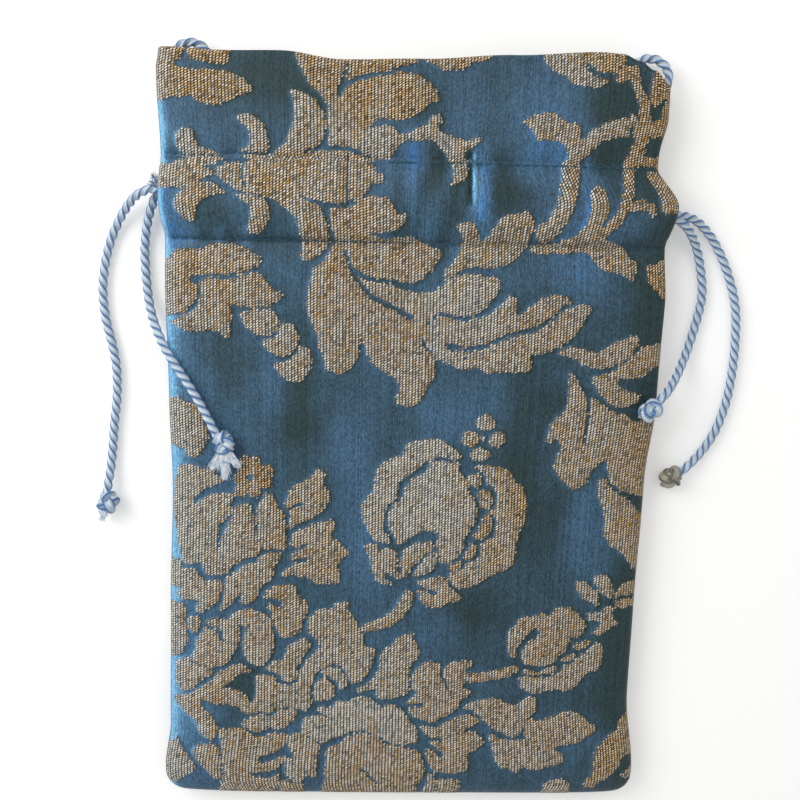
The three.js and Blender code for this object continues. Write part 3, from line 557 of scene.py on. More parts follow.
        (-46.5, -59.6), (-45.9, -61.1), (-46.4, -63), (-46.5, -64.5), (-45.6, -67), (-45.6, -69.5),
        (-46.5, -72.6), (-48.1, -74.8), (-50, -76.7), (-52.8, -76.4), (-55, -74.5), (-55.9, -72),
        (-56.2, -68.9), (-55.9, -65.8), (-55.4, -63), (-57.5, -61.8), (-60, -61.2),
    ]),
    (0.5, [
        (-34.9, -66.7), (-33.5, -67.9), (-33.7, -70.1), (-34.6, -71.7), (-35.9, -73.6), (-36.8, -75.4),
        (-37.8, -77.6), (-38.1, -80.1), (-38.7, -81.7), (-40.3, -82.3), (-42.4, -82), (-43.4, -80.8),
        (-44, -79.8), (-46.5, -78.9), (-48.4, -77.9), (-47.4, -76.1), (-45.9, -74.5), (-43.4, -74.2),
        (-42.1, -72.6), (-41.5, -70.1), (-40, -68.9), (-37.8, -67.3),
    ]),
    (0.6, [
        (-59.3, -76.3), (-56.5, -76.1), (-54.9, -77.6), (-53.1, -78.1), (-53.4, -78.9), (-55.2, -79),
        (-57.1, -79.8), (-59, -80.8), (-60.6, -82.6), (-62.4, -84.2), (-63.4, -84.8), (-60.2, -85.1),
        (-57.1, -86.1), (-54.9, -87.9), (-53.7, -90.1), (-53.4, -93.3), (-54.6, -94.2), (-56.5, -92.9),
        (-58.4, -91.7), (-60.9, -90.8), (-63.4, -90.9), (-65.9, -90.8), (-67.8, -90.4), (-69.3, -89.5),
        (-71.2, -90.9), (-70, -92.6), (-68.1, -93.9), (-66.5, -95.8), (-65.2, -97.9), (-64.9, -99.8),
        (-65.6, -102.6), (-66.8, -103.6), (-69, -103.3), (-70.6, -102), (-71.5, -100.1), (-72.8, -97.6),
        (-74.6, -95.8), (-76.5, -94.5), (-78.1, -92.6), (-79.6, -90.8), (-80.5, -89), (-77.8, -88.6),
        (-74.6, -87.6), (-72.4, -85.8), (-70.6, -84.8), (-68.4, -83.6), (-65.9, -81.4), (-65.2, -80.1),
        (-63.4, -78.6), (-61.5, -77.3),
    ]),
    (0.4, [
        (-34.6, -62.5), (-34, -59.9), (-32.8, -58), (-30.2, -56.4), (-26, -56.1), (-25.2, -54.3),
        (-22.8, -53.3), (-20.9, -53.6), (-20.9, -56.1), (-19.6, -58), (-18.4, -59.9), (-17.7, -62),
        (-16.8, -63.9), (-15.2, -65.8), (-14.9, -69.5), (-11.5, -69.8), (-11.8, -72), (-12.4, -75.1),
        (-14, -78.3), (-15.2, -80.8), (-17.8, -82.6), (-20, -82.3), (-20.9, -80.1), (-22.1, -77.6),
        (-24, -76.1), (-25.6, -75.4), (-27.1, -77), (-29, -77.6), (-30.5, -78.5), (-32, -80.5),
        (-33, -83), (-33.4, -86), (-33, -89.5), (-34, -92.3), (-35.6, -92.8), (-37.8, -92),
        (-39, -91.4), (-41.5, -91.7), (-44.6, -92), (-46.5, -93.6), (-49, -94.2), (-50.3, -93.3),
        (-52.1, -94), (-53.4, -93.3), (-53.7, -90.8), (-52.8, -88.9), (-51.8, -86.1), (-52, -83.3),
        (-51.8, -80.4), (-49, -80), (-46.5, -80.3), (-45.2, -81.4), (-44, -82.9), (-40.9, -83.3),
        (-38.4, -82.9), (-37.4, -81.4), (-37.1, -78.9), (-35.9, -77), (-35.2, -75.1), (-34, -73.3),
        (-32.4, -72.3), (-30.9, -69.5), (-31.2, -67), (-33, -65.8), (-34.3, -63.9),
    ]),
    (0.3, [
        (-29.5, -77.6), (-26, -76.7), (-23.4, -77.6), (-21.5, -80.1), (-20.9, -83.3), (-22.1, -85.1),
        (-23.7, -84.5), (-24.3, -82), (-25.9, -80.8), (-27.8, -79.8), (-29.6, -79.4),
    ]),
    (0.4, [
        (-31.5, -82), (-29, -80.1), (-27.8, -80.8), (-26.5, -82), (-25.2, -83.9), (-25.2, -85.8),
        (-25.9, -87.9), (-27.4, -88.9), (-29.5, -88.8), (-31.5, -89.3), (-32.5, -86),
    ]),
    (0.15, [
        (2.2, 2.4), (-1.5, 1.1), (-3.1, -0.5), (-4, -3), (-5.6, -3.3), (-8.4, -4.6), (-10.6, -5.8),
        (-12.1, -8), (-12.4, -10.5), (-13.1, -14.3), (-14, -16.1), (-16.2, -18.3), (-16.8, -21.1),
        (-16.5, -24.9), (-15.2, -28), (-13.7, -30.5), (-11.8, -32.4), (-9.6, -33), (-7.4, -33),
        (-7.1, -31.1), (-9, -29.3), (-9.6, -26.1), (-9, -22.4), (-7.4, -19.3), (-5.2, -17.7),
        (-4.9, -16.1), (-4.9, -14.3), (-4, -11.8), (-2.1, -9.9), (0.1, -8.3), (2.2, -6.8), (4.1, -5.2),
        (6, -4.3), (8.5, -3.3), (11, -3.3), (13.5, -3.9), (15.1, -4.3), (15.7, -2.7), (14.1, -0.8),
        (11.6, 1.1), (9.1, 2.3), (6, 2.6),
    ]),
    (0.2, [
        (5.1, -4.9), (9.7, -4.8), (14.7, -5.2), (15.4, -6.8), (15.4, -8.3), (16.9, -9.9), (18.2, -11.4),
        (18.5, -14.3), (19.1, -16.1), (20.7, -18), (21.5, -20.5), (21.7, -23), (21, -25.5),
        (19.7, -27.4), (18.5, -29.3), (17.6, -32.4), (16.9, -35.5), (14.7, -38), (12.2, -39.8),
        (10.4, -39.6), (9.4, -37.4), (8.5, -34.9), (8.5, -33), (9.1, -30.5), (8.2, -29.3), (6, -28.6),
        (3.5, -28.9), (1, -29.9), (-0.9, -31.1), (-2.4, -33), (-4.6, -33), (-5.9, -30.5), (-7.4, -28),
        (-8.1, -24.9), (-7.7, -22.4), (-6.5, -19.9), (-4, -18.6), (-3.1, -16.1), (-2.7, -13.6),
        (-0.9, -11.4), (1.6, -9.9), (4.1, -8.6), (5.1, -6.8),
    ]),
    (0.55, [
        (20.1, -6.8), (22.2, -5.8), (25.4, -6), (28.5, -6.4), (31, -7.4), (33.2, -9.3), (33.8, -11.4),
        (36.3, -13), (37.6, -16.1), (38.2, -19.3), (38.2, -23), (37.2, -26.1), (36, -29.9), (35.1, -33),
        (34.8, -36.8), (33.8, -39.9), (31.9, -41.8), (29.1, -42.7), (26, -44.3), (23.5, -46.1),
        (20.4, -47.7), (17.2, -48.3), (14.7, -47.7), (13.2, -46.1), (12.6, -43.6), (14.7, -42.7),
        (16.9, -41.1), (19.7, -39.3), (22.2, -38), (23.5, -36.1), (22.9, -33.9), (24.1, -32.1),
        (27.2, -30.5), (27.6, -29.3), (28, -25.5), (27.2, -23), (25, -22.2), (25.6, -21.3),
        (27.6, -19.9), (28, -17.4), (27.6, -14.9), (26.3, -13), (24.7, -12.4), (24.1, -10.5),
        (22.9, -8.3),
    ]),
    (0.75, [
        (18.5, -9.6), (20.5, -9), (22.6, -9.4), (22.4, -11.8), (21.2, -13.9), (19.8, -13.4),
        (18.9, -11.4),
    ]),
    (0.75, [
        (21.3, -14.9), (23.4, -14.4), (25.9, -15.2), (26.6, -17.6), (26.4, -19.6), (24.6, -20.6),
        (22.7, -20.3), (22.6, -18.6), (21.6, -17),
    ]),
    (0.75, [
        (26.8, -24.5), (25.4, -22.9), (23.6, -23.4), (22.9, -25.8), (21.6, -28), (20.2, -29.9), (21.4, -31.2),
        (24, -30.8), (25.8, -29.2), (26.7, -27),
    ]),
    (0.75, [
        (20.6, -32.1), (21.6, -34.2), (21.3, -36.6), (19.8, -38.2), (17.6, -38.2), (17.3, -37), (18.6, -35.6),
        (19.3, -33.4),
    ]),
    (0.75, [
        (12.8, -40.6), (14.6, -39.4), (16.8, -38.8), (17.2, -40), (16.4, -41.4), (14.8, -42.4),
        (13.2, -42.2),
    ]),
    (0.4, [
        (-16.5, -33.9), (-14.3, -33.3), (-12.1, -33.6), (-10.2, -35.2), (-8.1, -34.4), (-6.2, -35.2),
        (-4.9, -36.8), (-4.6, -39.3), (-4.3, -42.4), (-3.1, -44.6), (-4, -45.4), (-5.9, -44.3),
        (-7.7, -43.3), (-9.3, -43), (-8.4, -45.2), (-5.9, -46.4), (-7.1, -47.4), (-9.6, -47.4),
        (-11.5, -46.1), (-12.4, -43.9), (-13.1, -41.1), (-14, -38.6), (-14.9, -36.1),
    ]),
    (0.5, [
        (-3.7, -38), (-2.7, -35.5), (-0.9, -34.3), (1, -33), (3.5, -32.3), (6, -32.1), (7.3, -32.4),
        (7.3, -34.3), (5.4, -36.1), (3.5, -38), (1.6, -39.9), (0.4, -41.1), (-0.9, -43.6),
        (-2.1, -44.8), (-3.4, -43.9), (-3.4, -41.1),
    ]),
    (0.2, [
        (5.7, -36.4), (7.9, -35.5), (8.8, -38), (8.2, -40.5), (6.6, -42.7), (4.1, -43.9), (1.6, -44.6),
        (0.4, -43.9), (1.6, -42.1), (2.9, -39.9), (4.1, -38),
    ]),
    (0.55, [
        (2.2, -46.4), (4.7, -45.2), (7.9, -44.3), (10.4, -44.3), (12.2, -45.8), (13.2, -48), (14.7, -48.8),
        (16.9, -50.5), (16.9, -52.1), (15.1, -53.3), (12.9, -53.3), (11, -54.6), (8.5, -55), (5.4, -54.6),
        (3.5, -53), (2.6, -50.5), (2.2, -48.9), (3.5, -48.6),
    ]),
    (0.45, [
        (61.6, -11.1), (62.9, -10.2), (64.4, -10.5), (65.4, -12.1), (67.3, -14.6), (69.8, -15.8),
        (72.3, -17.4), (74.8, -20.2), (78, -22.5), (84, -23), (84, -43), (76, -42), (73.8, -39.9),
        (71.9, -37.4), (69.8, -34.9), (67.3, -33.6), (65.4, -31.1), (64.4, -28), (64.4, -24.9),
        (64.1, -20.5), (62.9, -18.6), (61.8, -16.1), (61.6, -13.6),
    ]),
    (0.25, [
        (55.4, -46.8), (57.3, -46), (59.1, -46.4), (61, -48), (62.9, -49.9), (64.1, -51.8), (64.3, -54.6),
        (62.9, -54.9), (61, -53.3), (59.1, -52.4), (57.6, -50.8), (56.3, -48.6),
    ]),
    (0.4, [
        (61.9, -44.6), (63.5, -43.6), (65.4, -43.6), (67.3, -44.9), (68.5, -47.1), (69, -49.3), (68.2, -52.1),
        (66.6, -51.1), (64.8, -50.2), (63.2, -48), (62.3, -46.1),
    ]),
    (0.55, [
        (69.1, -50.8), (70.7, -49.3), (72.3, -47.4), (74.1, -46.4), (76, -46), (84, -45.5), (84, -51),
        (75.6, -50.8), (72.9, -51.1), (70.1, -51.9),
    ]),
    (0.7, [(69.6, -53.6), (72.3, -52.5), (75.4, -52.5), (84, -52.5), (84, -56), (75.4, -55.2), (73.5, -56.1),
           (71.3, -55.2)]),
    (0.4, [
        (60.6, -57.4), (62.9, -57.1), (64.8, -56.8), (66.6, -55.2), (68.8, -54.8), (70.1, -56.1),
        (69.1, -57.4), (69.8, -59.3), (71, -60.5), (70.7, -61.8), (69, -62.5), (67.3, -63.3),
        (66.3, -64.8), (64.1, -65.4), (62.6, -64.5), (63.5, -62.9), (65.3, -61.2), (64, -60),
        (62, -60.2), (60.8, -59),
    ]),
    (0.5, [
        (33.6, -70), (33, -66.5), (33.5, -64), (34.1, -63), (34.8, -61.8), (36.3, -59.9), (38.5, -58.3),
        (41, -58), (43.5, -57.1), (46, -57.1), (46.9, -58), (48.5, -56.4), (50.4, -55.2), (52.9, -55),
        (55.1, -55.8), (56.6, -57.1), (58.5, -58.9), (59.8, -59.9), (60.1, -61.8), (59.4, -63.9),
        (57.9, -65.8), (55.4, -66.4), (54.1, -69.5), (52.9, -71.4), (51, -72.6), (49.8, -74.8),
        (47.9, -75.1), (45.4, -76.1), (42.3, -75.8), (39.8, -75.1), (38.5, -72.6), (38.5, -70.1),
        (40.1, -67.6), (42.3, -66.4), (44.1, -64.5), (43, -62.5), (41, -63.3), (39.4, -65.8),
        (37.9, -67), (36.6, -70.1), (36.3, -72.6), (34, -72.3),
    ]),
    (0.7, [
        (57, -68.3), (59.1, -67.6), (61.6, -67.3), (62.3, -68.3), (60.1, -69.8), (57.3, -70.4),
        (56.3, -69.5),
    ]),
    (0.35, [
        (62.9, -68.3), (64.8, -67.9), (66.3, -69.8), (66.5, -72.3), (66, -75.4), (64.8, -77.9),
        (62.3, -78.9), (60.4, -80.1), (58.5, -82.6), (56.6, -84.5), (53.5, -85), (50.4, -84.8),
        (47.6, -85.1), (44.8, -85.8), (41.6, -85.8), (39.4, -84.2), (37.9, -82.3), (37.8, -80.1),
        (40.4, -79.8), (43.5, -79.8), (47.3, -79.8), (50.1, -78.9), (52.3, -77), (53.5, -75.8),
        (56, -74.8), (57.9, -73.3), (59.8, -71.7), (61.6, -70.4),
    ]),
    (0.5, [
        (38.8, -77.3), (41, -77), (42.6, -77.6), (44.8, -77.9), (46, -77), (48.5, -76.1), (51, -76.7),
        (50.4, -77.9), (47.9, -78.6), (44.8, -79.1), (41, -79), (39.1, -78.7),
    ]),
    (0.4, [(52.3, -73.9), (54.1, -72.3), (56.6, -71.7), (57.3, -72.7), (55.4, -74.1), (52.9, -75)]),
    (0.35, [
        (1.3, -64.2), (1.6, -66.4), (2.9, -69.2), (3.2, -72), (1.6, -74.5), (0.4, -77), (0.4, -80.8),
        (0.4, -84.5), (-0.9, -86.1), (-2.7, -87), (-5.2, -87.9), (-8.4, -88.3), (-10.6, -87.6),
        (-11.2, -86.4), (-10.2, -85.4), (-11.5, -84.5), (-14, -85.1), (-16.5, -85.8), (-17.6, -85.1),
        (-16.5, -83.9), (-14.3, -82.9), (-12.4, -81.4), (-11.5, -79.5), (-10.2, -77), (-9.9, -74.5),
        (-9, -71.4), (-7.4, -69.2), (-5.6, -67.9), (-4, -65.8), (-1.5, -64.8),
    ]),
    (0.5, [
        (1.3, -78.3), (2.9, -76.7), (5.4, -74.8), (7.9, -74.2), (10.1, -74.8), (11.6, -75.8), (13.5, -74.8),
        (16, -73.9), (19.1, -73.6), (21.3, -74.2), (21.5, -75.4), (19.7, -76.4), (19.1, -78.3), (20.1, -80.1),
        (19.4, -82), (18.2, -83.9), (20.4, -84.4), (21.6, -85.8), (20.4, -87.3), (18.5, -88.3), (17.2, -90.1),
        (16.3, -92), (14.1, -93.6), (11.6, -94.5), (9.7, -96.1), (7.2, -96.3), (4.7, -95.4), (2.2, -94.5),
        (0.7, -92.9), (0.4, -91.4), (2.9, -90.8), (6, -90.1), (4.7, -89.5), (1.6, -89.6), (-0.6, -89.5),
        (0.4, -88.3), (2.2, -86.4), (2.6, -84.8), (1.3, -83.9), (0.7, -81.4),
    ]),
    (0.2, [
        (-36.7, -98.5), (-35, -95.5), (-32, -94.2), (-29, -94.3), (-27.5, -94.8), (-30.8, -92.6),
        (-29.5, -91.1), (-27.1, -91.1), (-25.9, -91.4), (-24.6, -89.5), (-21.5, -88.9), (-19, -88.9),
        (-18.7, -87.6), (-16.5, -87.3), (-13.4, -87.9), (-10.9, -89.5), (-9, -90.8), (-6.5, -90.1),
        (-4, -90.8), (-1.5, -92.6), (0.1, -95.1), (1.6, -97), (3.2, -98.9), (3.4, -102), (3.5, -103.9),
        (1, -104.5), (-1.5, -105.1), (-5.2, -104.5), (-7.4, -103.3), (-9.6, -102), (-12.1, -101.1),
        (-13.7, -100.1), (-16.5, -99.5), (-19.6, -100.4), (-22.1, -101.7), (-25.2, -102.6),
        (-27.1, -103.6), (-28.5, -104.6), (-30, -104.2), (-31.5, -103.2), (-34, -102), (-36.2, -100.6),
    ]),
    (0.6, [
        (-27.8, -108.3), (-26.5, -105.8), (-24, -105.1), (-21.5, -102.6), (-19, -101.1), (-15.9, -100.6),
        (-12.7, -101.1), (-10.2, -102.3), (-7.7, -104.5), (-4, -105.1), (-0.9, -106.1), (2.2, -106.4),
        (4.4, -107.6), (5.7, -110.1), (6.3, -113.3), (6, -116.4), (4.7, -118.9), (3.2, -121.4), (2, -127.5),
        (-27.5, -127.5), (-28.2, -118), (-28.2, -112),
    ]),
    (0.55, [
        (-64.6, -100.1), (-61.5, -99.5), (-57.1, -99.4), (-55.2, -100.4), (-52.8, -102), (-49.6, -102.6),
        (-47.1, -101.4), (-44, -100.9), (-41.5, -101.4), (-41.8, -104.5), (-44, -107), (-46.5, -108.6),
        (-49.6, -109.5), (-50.9, -110.4), (-50.3, -112), (-47.1, -111.7), (-44, -110.1), (-41.5, -109.5),
        (-41.2, -110.1), (-43.4, -112), (-44, -113.9), (-46.5, -114.8), (-49.6, -115.8), (-52.8, -115.8),
        (-54, -117), (-50.9, -117.6), (-47.8, -117.6), (-45.3, -116.7), (-44, -116.1), (-44, -117.9),
        (-45.9, -119.5), (-49, -120.4), (-49.6, -127.5), (-65, -127.5), (-64, -120.8), (-65.2, -119.2),
        (-67.1, -118.3), (-68.4, -116.4), (-70.2, -114.5), (-72.1, -112.6), (-73.4, -110.1), (-73.7, -107.9),
        (-72.4, -106.4), (-70.2, -105.4), (-67.1, -105.1), (-64, -105.8),
    ]),
    (0.35, [
        (-57.1, -97.6), (-55.9, -96.1), (-53.4, -95.1), (-50.9, -94.2), (-48.4, -94.2), (-47.4, -95.8),
        (-47.1, -98.3), (-48.4, -99.5), (-50.3, -100.4), (-52.1, -100.9), (-54.6, -99.5), (-56.5, -98.9),
    ]),
    (0.5, [
        (-47.1, -95.1), (-45.3, -93.6), (-42.8, -92.6), (-40.3, -92.3), (-38.4, -92.6), (-38.1, -93.9),
        (-39, -96.1), (-40.9, -97.6), (-43.4, -99.5), (-45.9, -99.8), (-46.8, -98.3),
    ]),
    (0.35, [
        (-41.2, -104.5), (-40.9, -102), (-38.4, -100.4), (-36.5, -100.8), (-34.6, -102.3), (-32.1, -103.3),
        (-30.4, -105.1), (-30.3, -108.3), (-31.5, -110.1), (-30.3, -110.8), (-30.9, -112), (-31.2, -114),
        (-30.9, -116.5), (-31.8, -117.6), (-34, -117), (-35.9, -118.6), (-36.2, -120.1), (-38.4, -119.8),
        (-40.3, -118.3), (-42.1, -115.1), (-42.4, -112), (-41.5, -110.1), (-39.2, -110), (-40.3, -107),
    ]),
    (0.6, [
        (-43.4, -119.8), (-41.5, -118.9), (-39, -120.1), (-36.5, -120.1), (-35.5, -122), (-35.5, -127.5),
        (-43.5, -127.5),
    ]),
    (0.3, [
        (-49, -120.8), (-46.5, -118.9), (-44.3, -117.6), (-44, -120.8), (-45.3, -122.6), (-45.5, -127.5),
        (-49.4, -127.5),
    ]),
    (0.25, [
        (-81.2, -105.8), (-80.3, -103.6), (-78.7, -104.5), (-77.1, -108.3), (-75.3, -110.8), (-73.7, -113.3),
        (-73.1, -115.1), (-74.6, -117), (-76.5, -118.3), (-78.4, -120.1), (-80.3, -121.4), (-83, -120.5),
        (-86, -117), (-86, -108),
    ]),
    (0.5, [
        (4.1, -97.9), (6.6, -97.6), (9.7, -98.3), (12.2, -97), (14.1, -95.8), (16, -94.5),
        (18.5, -93.6), (21, -93.4), (23.5, -94.5), (24.4, -96.1), (22.9, -97.3), (20.4, -98.9),
        (19.7, -100.1), (21, -99.8), (23.5, -99.8), (24.4, -100.8), (26.3, -102), (26, -104.5),
        (24.1, -106.4), (21.6, -107.9), (21, -109.5), (21.3, -112), (20.7, -114.8), (17.9, -115.1),
        (16, -115.9), (13.5, -115.8), (11.6, -115.1), (9.7, -115.1), (8.5, -113.3), (7.2, -110.8),
        (6.3, -107.6), (7.2, -106.4), (9.1, -107), (11, -108.9), (12.6, -109.2), (12.2, -107.9),
        (9.7, -105.8), (7.9, -104.5), (8.5, -103.3), (11, -103.6), (12.6, -102.6), (11, -102.3),
        (7.9, -102), (6, -100.8),
    ]),
    (0.25, [
        (7.6, -115.5), (9.4, -116.4), (10.4, -118.5), (10.2, -121.5), (9.6, -127.5), (5, -127.5),
        (6.6, -120.5), (7, -117.8),
    ]),
    (0.5, [
        (11, -118.2), (13.5, -117.6), (16, -118), (18, -118.3), (18.8, -120.4), (17, -127.5),
        (11, -127.5),
    ]),
    (0.5, [
        (19.4, -90.4), (21.6, -88.9), (24.1, -87.9), (27, -87.4), (29.1, -87.1), (31.3, -87.9),
        (34.1, -89.5), (37.9, -89.5), (39.4, -88.3), (41, -87.1), (42.9, -87.1), (44.1, -88.9),
        (43.8, -92.6), (42.3, -94.5), (40.4, -96.1), (39.4, -98.9), (37.9, -101.4), (35.4, -101.7),
        (32.3, -100.1), (29.8, -98.9), (27.9, -97), (26, -95.8), (24.8, -93.9), (22.2, -92),
        (19.8, -91.6),
    ]),
    (0.4, [
        (40.1, -95.8), (42.3, -95.1), (44.8, -95.8), (47.3, -95.1), (50.1, -94), (52.9, -92.9),
        (56.6, -92.5), (59.1, -93.3), (61.3, -95.1), (62.9, -97.3), (65.1, -97.9), (65.5, -99.5),
        (63.5, -101.1), (61.6, -102.6), (59.8, -103.9), (57.3, -104.8), (53.5, -105.1), (51.6, -105.4),
        (52.3, -107.3), (54.1, -108.9), (54, -111.4), (52.9, -112.6), (50.4, -112), (48.5, -113.3),
        (45.4, -114.2), (42.3, -113.9), (40.4, -112.9), (39.1, -114.8), (37.3, -115.1), (35.4, -113.6),
        (32.9, -113.3), (31, -111.7), (30.1, -109.2), (29.4, -105.8), (28.5, -103.3), (27.9, -100.8),
        (29.1, -100.3), (31.6, -102), (35.4, -102.6), (39.4, -102.9), (41, -102.6), (40.1, -99.5),
    ]),
    (0.8, [
        (76.6, -93.6), (79, -92), (84, -93), (84, -108), (76, -110.1), (74.4, -113.9), (72.3, -116.1),
        (69.8, -118.3), (67.3, -119.8), (66, -121.7), (63.5, -121.4), (61.9, -120.8), (62.6, -118.6),
        (64.8, -116.4), (65.1, -113.3), (64.8, -110.1), (66, -106.4), (67.9, -104.2), (70.4, -101.4),
        (72.9, -99.5), (74.1, -96.4),
    ]),
    (0.7, [(77.9, -114.8), (82, -114), (82, -118), (77.6, -118.6), (75.4, -117.6), (76, -116.4)]),
    (0.2, [
        (47.9, -121.1), (48.8, -118.9), (51, -117.8), (54.1, -117.6), (56.3, -118.9), (57.3, -121.1),
        (57, -127.5), (48, -127.5),
    ]),
]
# Woven stems and petals: points across and up with the half width there, and how ochre they are.
STEMS = [
    (0.8, [
        (61.5, 118.3, 1.2), (64.5, 120.5, 2), (66, 121, 1.8), (67.2, 117, 1.5), (69.5, 112, 1.6),
        (70.6, 107, 1.8), (70.3, 102, 2.2), (69, 97, 2.2), (66.3, 92.3, 2), (65.6, 88, 1.7),
        (65.7, 83, 1.7), (65, 79, 1.8), (62.5, 75, 1.6), (59, 71, 1.4),
    ]),
    (0.6, [(66.2, 107.2, 0.9), (67.8, 104.5, 1.4), (69, 100, 1.8)]),
    (0.7, [(71.5, 103, 1.8), (74.5, 103.2, 2.6), (77.5, 104.5, 3.2), (77.5, 109, 1.4), (78.5, 111.5, 1.6)]),
    (0.7, [(68, 93.5, 1.6), (72, 93.2, 1.6), (76.5, 93, 1.8)]),
    (0.7, [(66.5, 79.5, 1.6), (70, 79.7, 1.6), (73, 79, 1.5), (74, 77, 1)]),
    (0.55, [
        (-15.2, -62.8, 1.4), (-11, -61.6, 1.9), (-7, -59.8, 2.1), (-4, -57.2, 2.2), (-1.8, -53.8, 2.3),
        (-0.8, -51, 1.8),
    ]),
    (0.6, [(20.6, -79.8, 1.8), (26, -79.6, 1.7), (31, -78.8, 1.6), (34, -77.8, 1.6), (36, -77, 1.4)]),
    (0.3, [(23.8, 8.3, 2.7), (23.2, 8.3, 2.7)]),
    (0.3, [(18.2, 3.2, 2.6), (18.8, 3, 2.6)]),
    (0.3, [(27.4, 3.4, 2.4), (27.2, 2.4, 2.4)]),
    (0.3, [(20.6, -2.4, 2), (21.9, -2.2, 2.3), (23.2, -2.4, 2)]),
    (0.35, [(22.9, 3.2, 0.8), (22.8, 3, 0.8)]),
    (0.8, [(-55.4, -5.6, 1.9), (-55, -9, 2.2)]),
    (0.8, [(-52.2, -5.8, 2.1), (-52.8, -8.5, 2)]),
    (0.8, [(-48.3, -9, 2.4), (-51, -9.8, 2)]),
    (0.8, [(-48.8, -12.6, 2.3), (-51.2, -11.8, 2)]),
    (0.7, [(-52.2, -16, 1.9), (-52.4, -13.5, 1.7)]),
    (0.8, [(-56.9, -15.8, 2), (-55.6, -13.2, 1.8)]),
    (0.8, [(-57.2, -11.6, 2), (-56, -10, 1.8)]),
]
# Slits of ground left open inside the motifs: half width, then points.
SLITS = [
    (0.65, [(-23.4, 62.9), (-20.2, 55.5), (-17, 51.8), (-14, 48.8), (-10, 46.6), (-5.5, 44.4), (-1.6, 41.6)]),
    (0.55, [(7, 44), (11, 43), (15, 42.3), (20, 43.6), (24, 45.2)]),
    (0.55, [(11.6, 33.4), (15, 32.6), (19, 32.9), (24, 34.6), (29, 36.8), (34, 38.4), (39, 39.8),
            (44, 43.3), (48, 47)]),
    (0.5, [(57, 16.6), (57.4, 12), (57, 6), (56.2, 2)]),
    (0.5, [(-40.4, -21.6), (-37.6, -19.9), (-36, -20.2)]),
    (0.5, [(-70, -62.5), (-67, -63.4), (-64, -65), (-63.2, -68)]),
    (0.5, [(3, -47.8), (5.6, -49.5), (8, -49.9)]),
    (0.3, [(11.6, -75.8), (11.2, -79), (13, -83), (15, -86)]),
    (0.5, [(-15.6, -113.9), (-12.7, -117), (-10.2, -119.8)]),
    (0.3, [(-64.2, -105.8), (-63.8, -112), (-63.8, -120)]),
    (0.35, [(-52, -25), (-51.4, -30), (-51.6, -35)]),
    (0.4, [(-60, -24), (-62, -28), (-63.6, -32)]),
    (1.1, [(-54.1, -11), (-53.9, -11)]),
    (0.35, [(3.9, 31.8), (3, 33.4), (2.2, 35.4)]),
]
MOTIF_REACH = 2.4
STEM_REACH = MOTIF_REACH + 3
SLIT_REACH = MOTIF_REACH + 1
# Painted light and shade on the satin, bluer where lit and tealer where shaded: x, y, half width, half length
# and how much.
PAINTED_SHEEN = [
    (-67, 75, 8, 7, -0.6), (-81, 80, 6, 8, 0.7), (-79, 67, 6, 5, 0.9), (-43, 66, 5, 5, -0.3),
    (-3, 95, 5, 5, 0.6), (-1, 90, 3, 10, 0.9), (4.8, 91, 4, 12, -0.7), (16, 86, 3, 6, -0.5),
    (21, 88, 3, 8, 0.8), (20, 77, 4, 6, 0.8), (26.5, 84, 4, 9, -0.5), (39, 93, 9, 9, 0.8),
    (42, 103, 12, 8, 0.6), (63, 95, 9, 9, -0.6), (78, 89, 7, 8, -0.7), (55, 78, 4, 9, 1.4),
    (54, 70, 5, 5, 0.9), (52, 58, 10, 8, 0.9), (62, 109, 9, 8, -0.9), (80, 112, 6, 12, -0.6),
    (-49, 119, 17, 10, -0.7), (34, 112, 9, 8, 0.3), (80, 45, 9, 16, -0.6), (66, 72, 5, 4, 0.3),
    (10, 11, 12, 8, 0.5), (-21, -4, 6, 14, 0.6), (-34, 6, 8, 10, -0.2), (-56, 14, 10, 8, -0.1),
    (44, 17, 9, 8, -0.3), (45, -26, 7, 20, -0.4), (52, -40, 9, 10, 0.5), (24, -56, 12, 6, -0.3),
    (12, -66, 9, 6, 0.3), (70, -84, 9, 14, -0.3), (-17, -32, 6, 16, 0.6), (-38, 18, 5, 20, -0.6),
    (-63, 32, 7, 12, -0.5), (-47, 20, 4, 10, 0.4), (35, -8, 6, 30, -0.6), (57, -24, 6, 12, 0.7),
    (22, -62, 8, 14, -0.4), (-57, -83, 8, 10, -0.6), (70, -60, 8, 14, -0.4), (-6, 98, 6, 12, 0.3),
    (59, -102, 8, 8, 0.4), (-26, -62, 8, 8, 0.4),
]
# Where the figure is more golden or more grey, in the same way.
GOLDEN = [
    (80, 109, 10, 14, 0.4), (82, 58, 7, 9, 0.4), (-71, 53, 12, 14, 0.3), (-32, 117, 10, 12, 0.3),
    (36, -21, 6, 14, 0.3), (-68, 121, 9, 9, 0.3), (78, -14, 6, 22, 0.35), (68, -104, 8, 12, 0.3),
    (-57, -10, 7, 7, 0.3), (-44, 84, 8, 12, 0.2), (-24, 62, 8, 12, 0.2), (16, 44, 12, 16, -0.25),
    (2, -16, 14, 18, -0.3), (-74, -8, 8, 20, -0.25), (-20, -92, 20, 14, -0.25), (30, 60, 10, 10, -0.2),
    (-30, 100, 5, 6, -0.2), (60, 88, 8, 8, -0.1),
]


def smooth_outline(points, steps=4):
    near = np.array(points, float)
    before, after, beyond = np.roll(near, 1, 0), np.roll(near, -1, 0), np.roll(near, -2, 0)
    t = (np.arange(steps) / steps)[None, :, None]
    before, near, after, beyond = (p[:, None] for p in (before, near, after, beyond))
    bend = 2 * before - 5 * near + 4 * after - beyond
    twist = 3 * near - before - 3 * after + beyond
    curve = near + 0.5 * ((after - before) * t + bend * t ** 2 + twist * t ** 3)
    return curve.reshape(-1, 2)


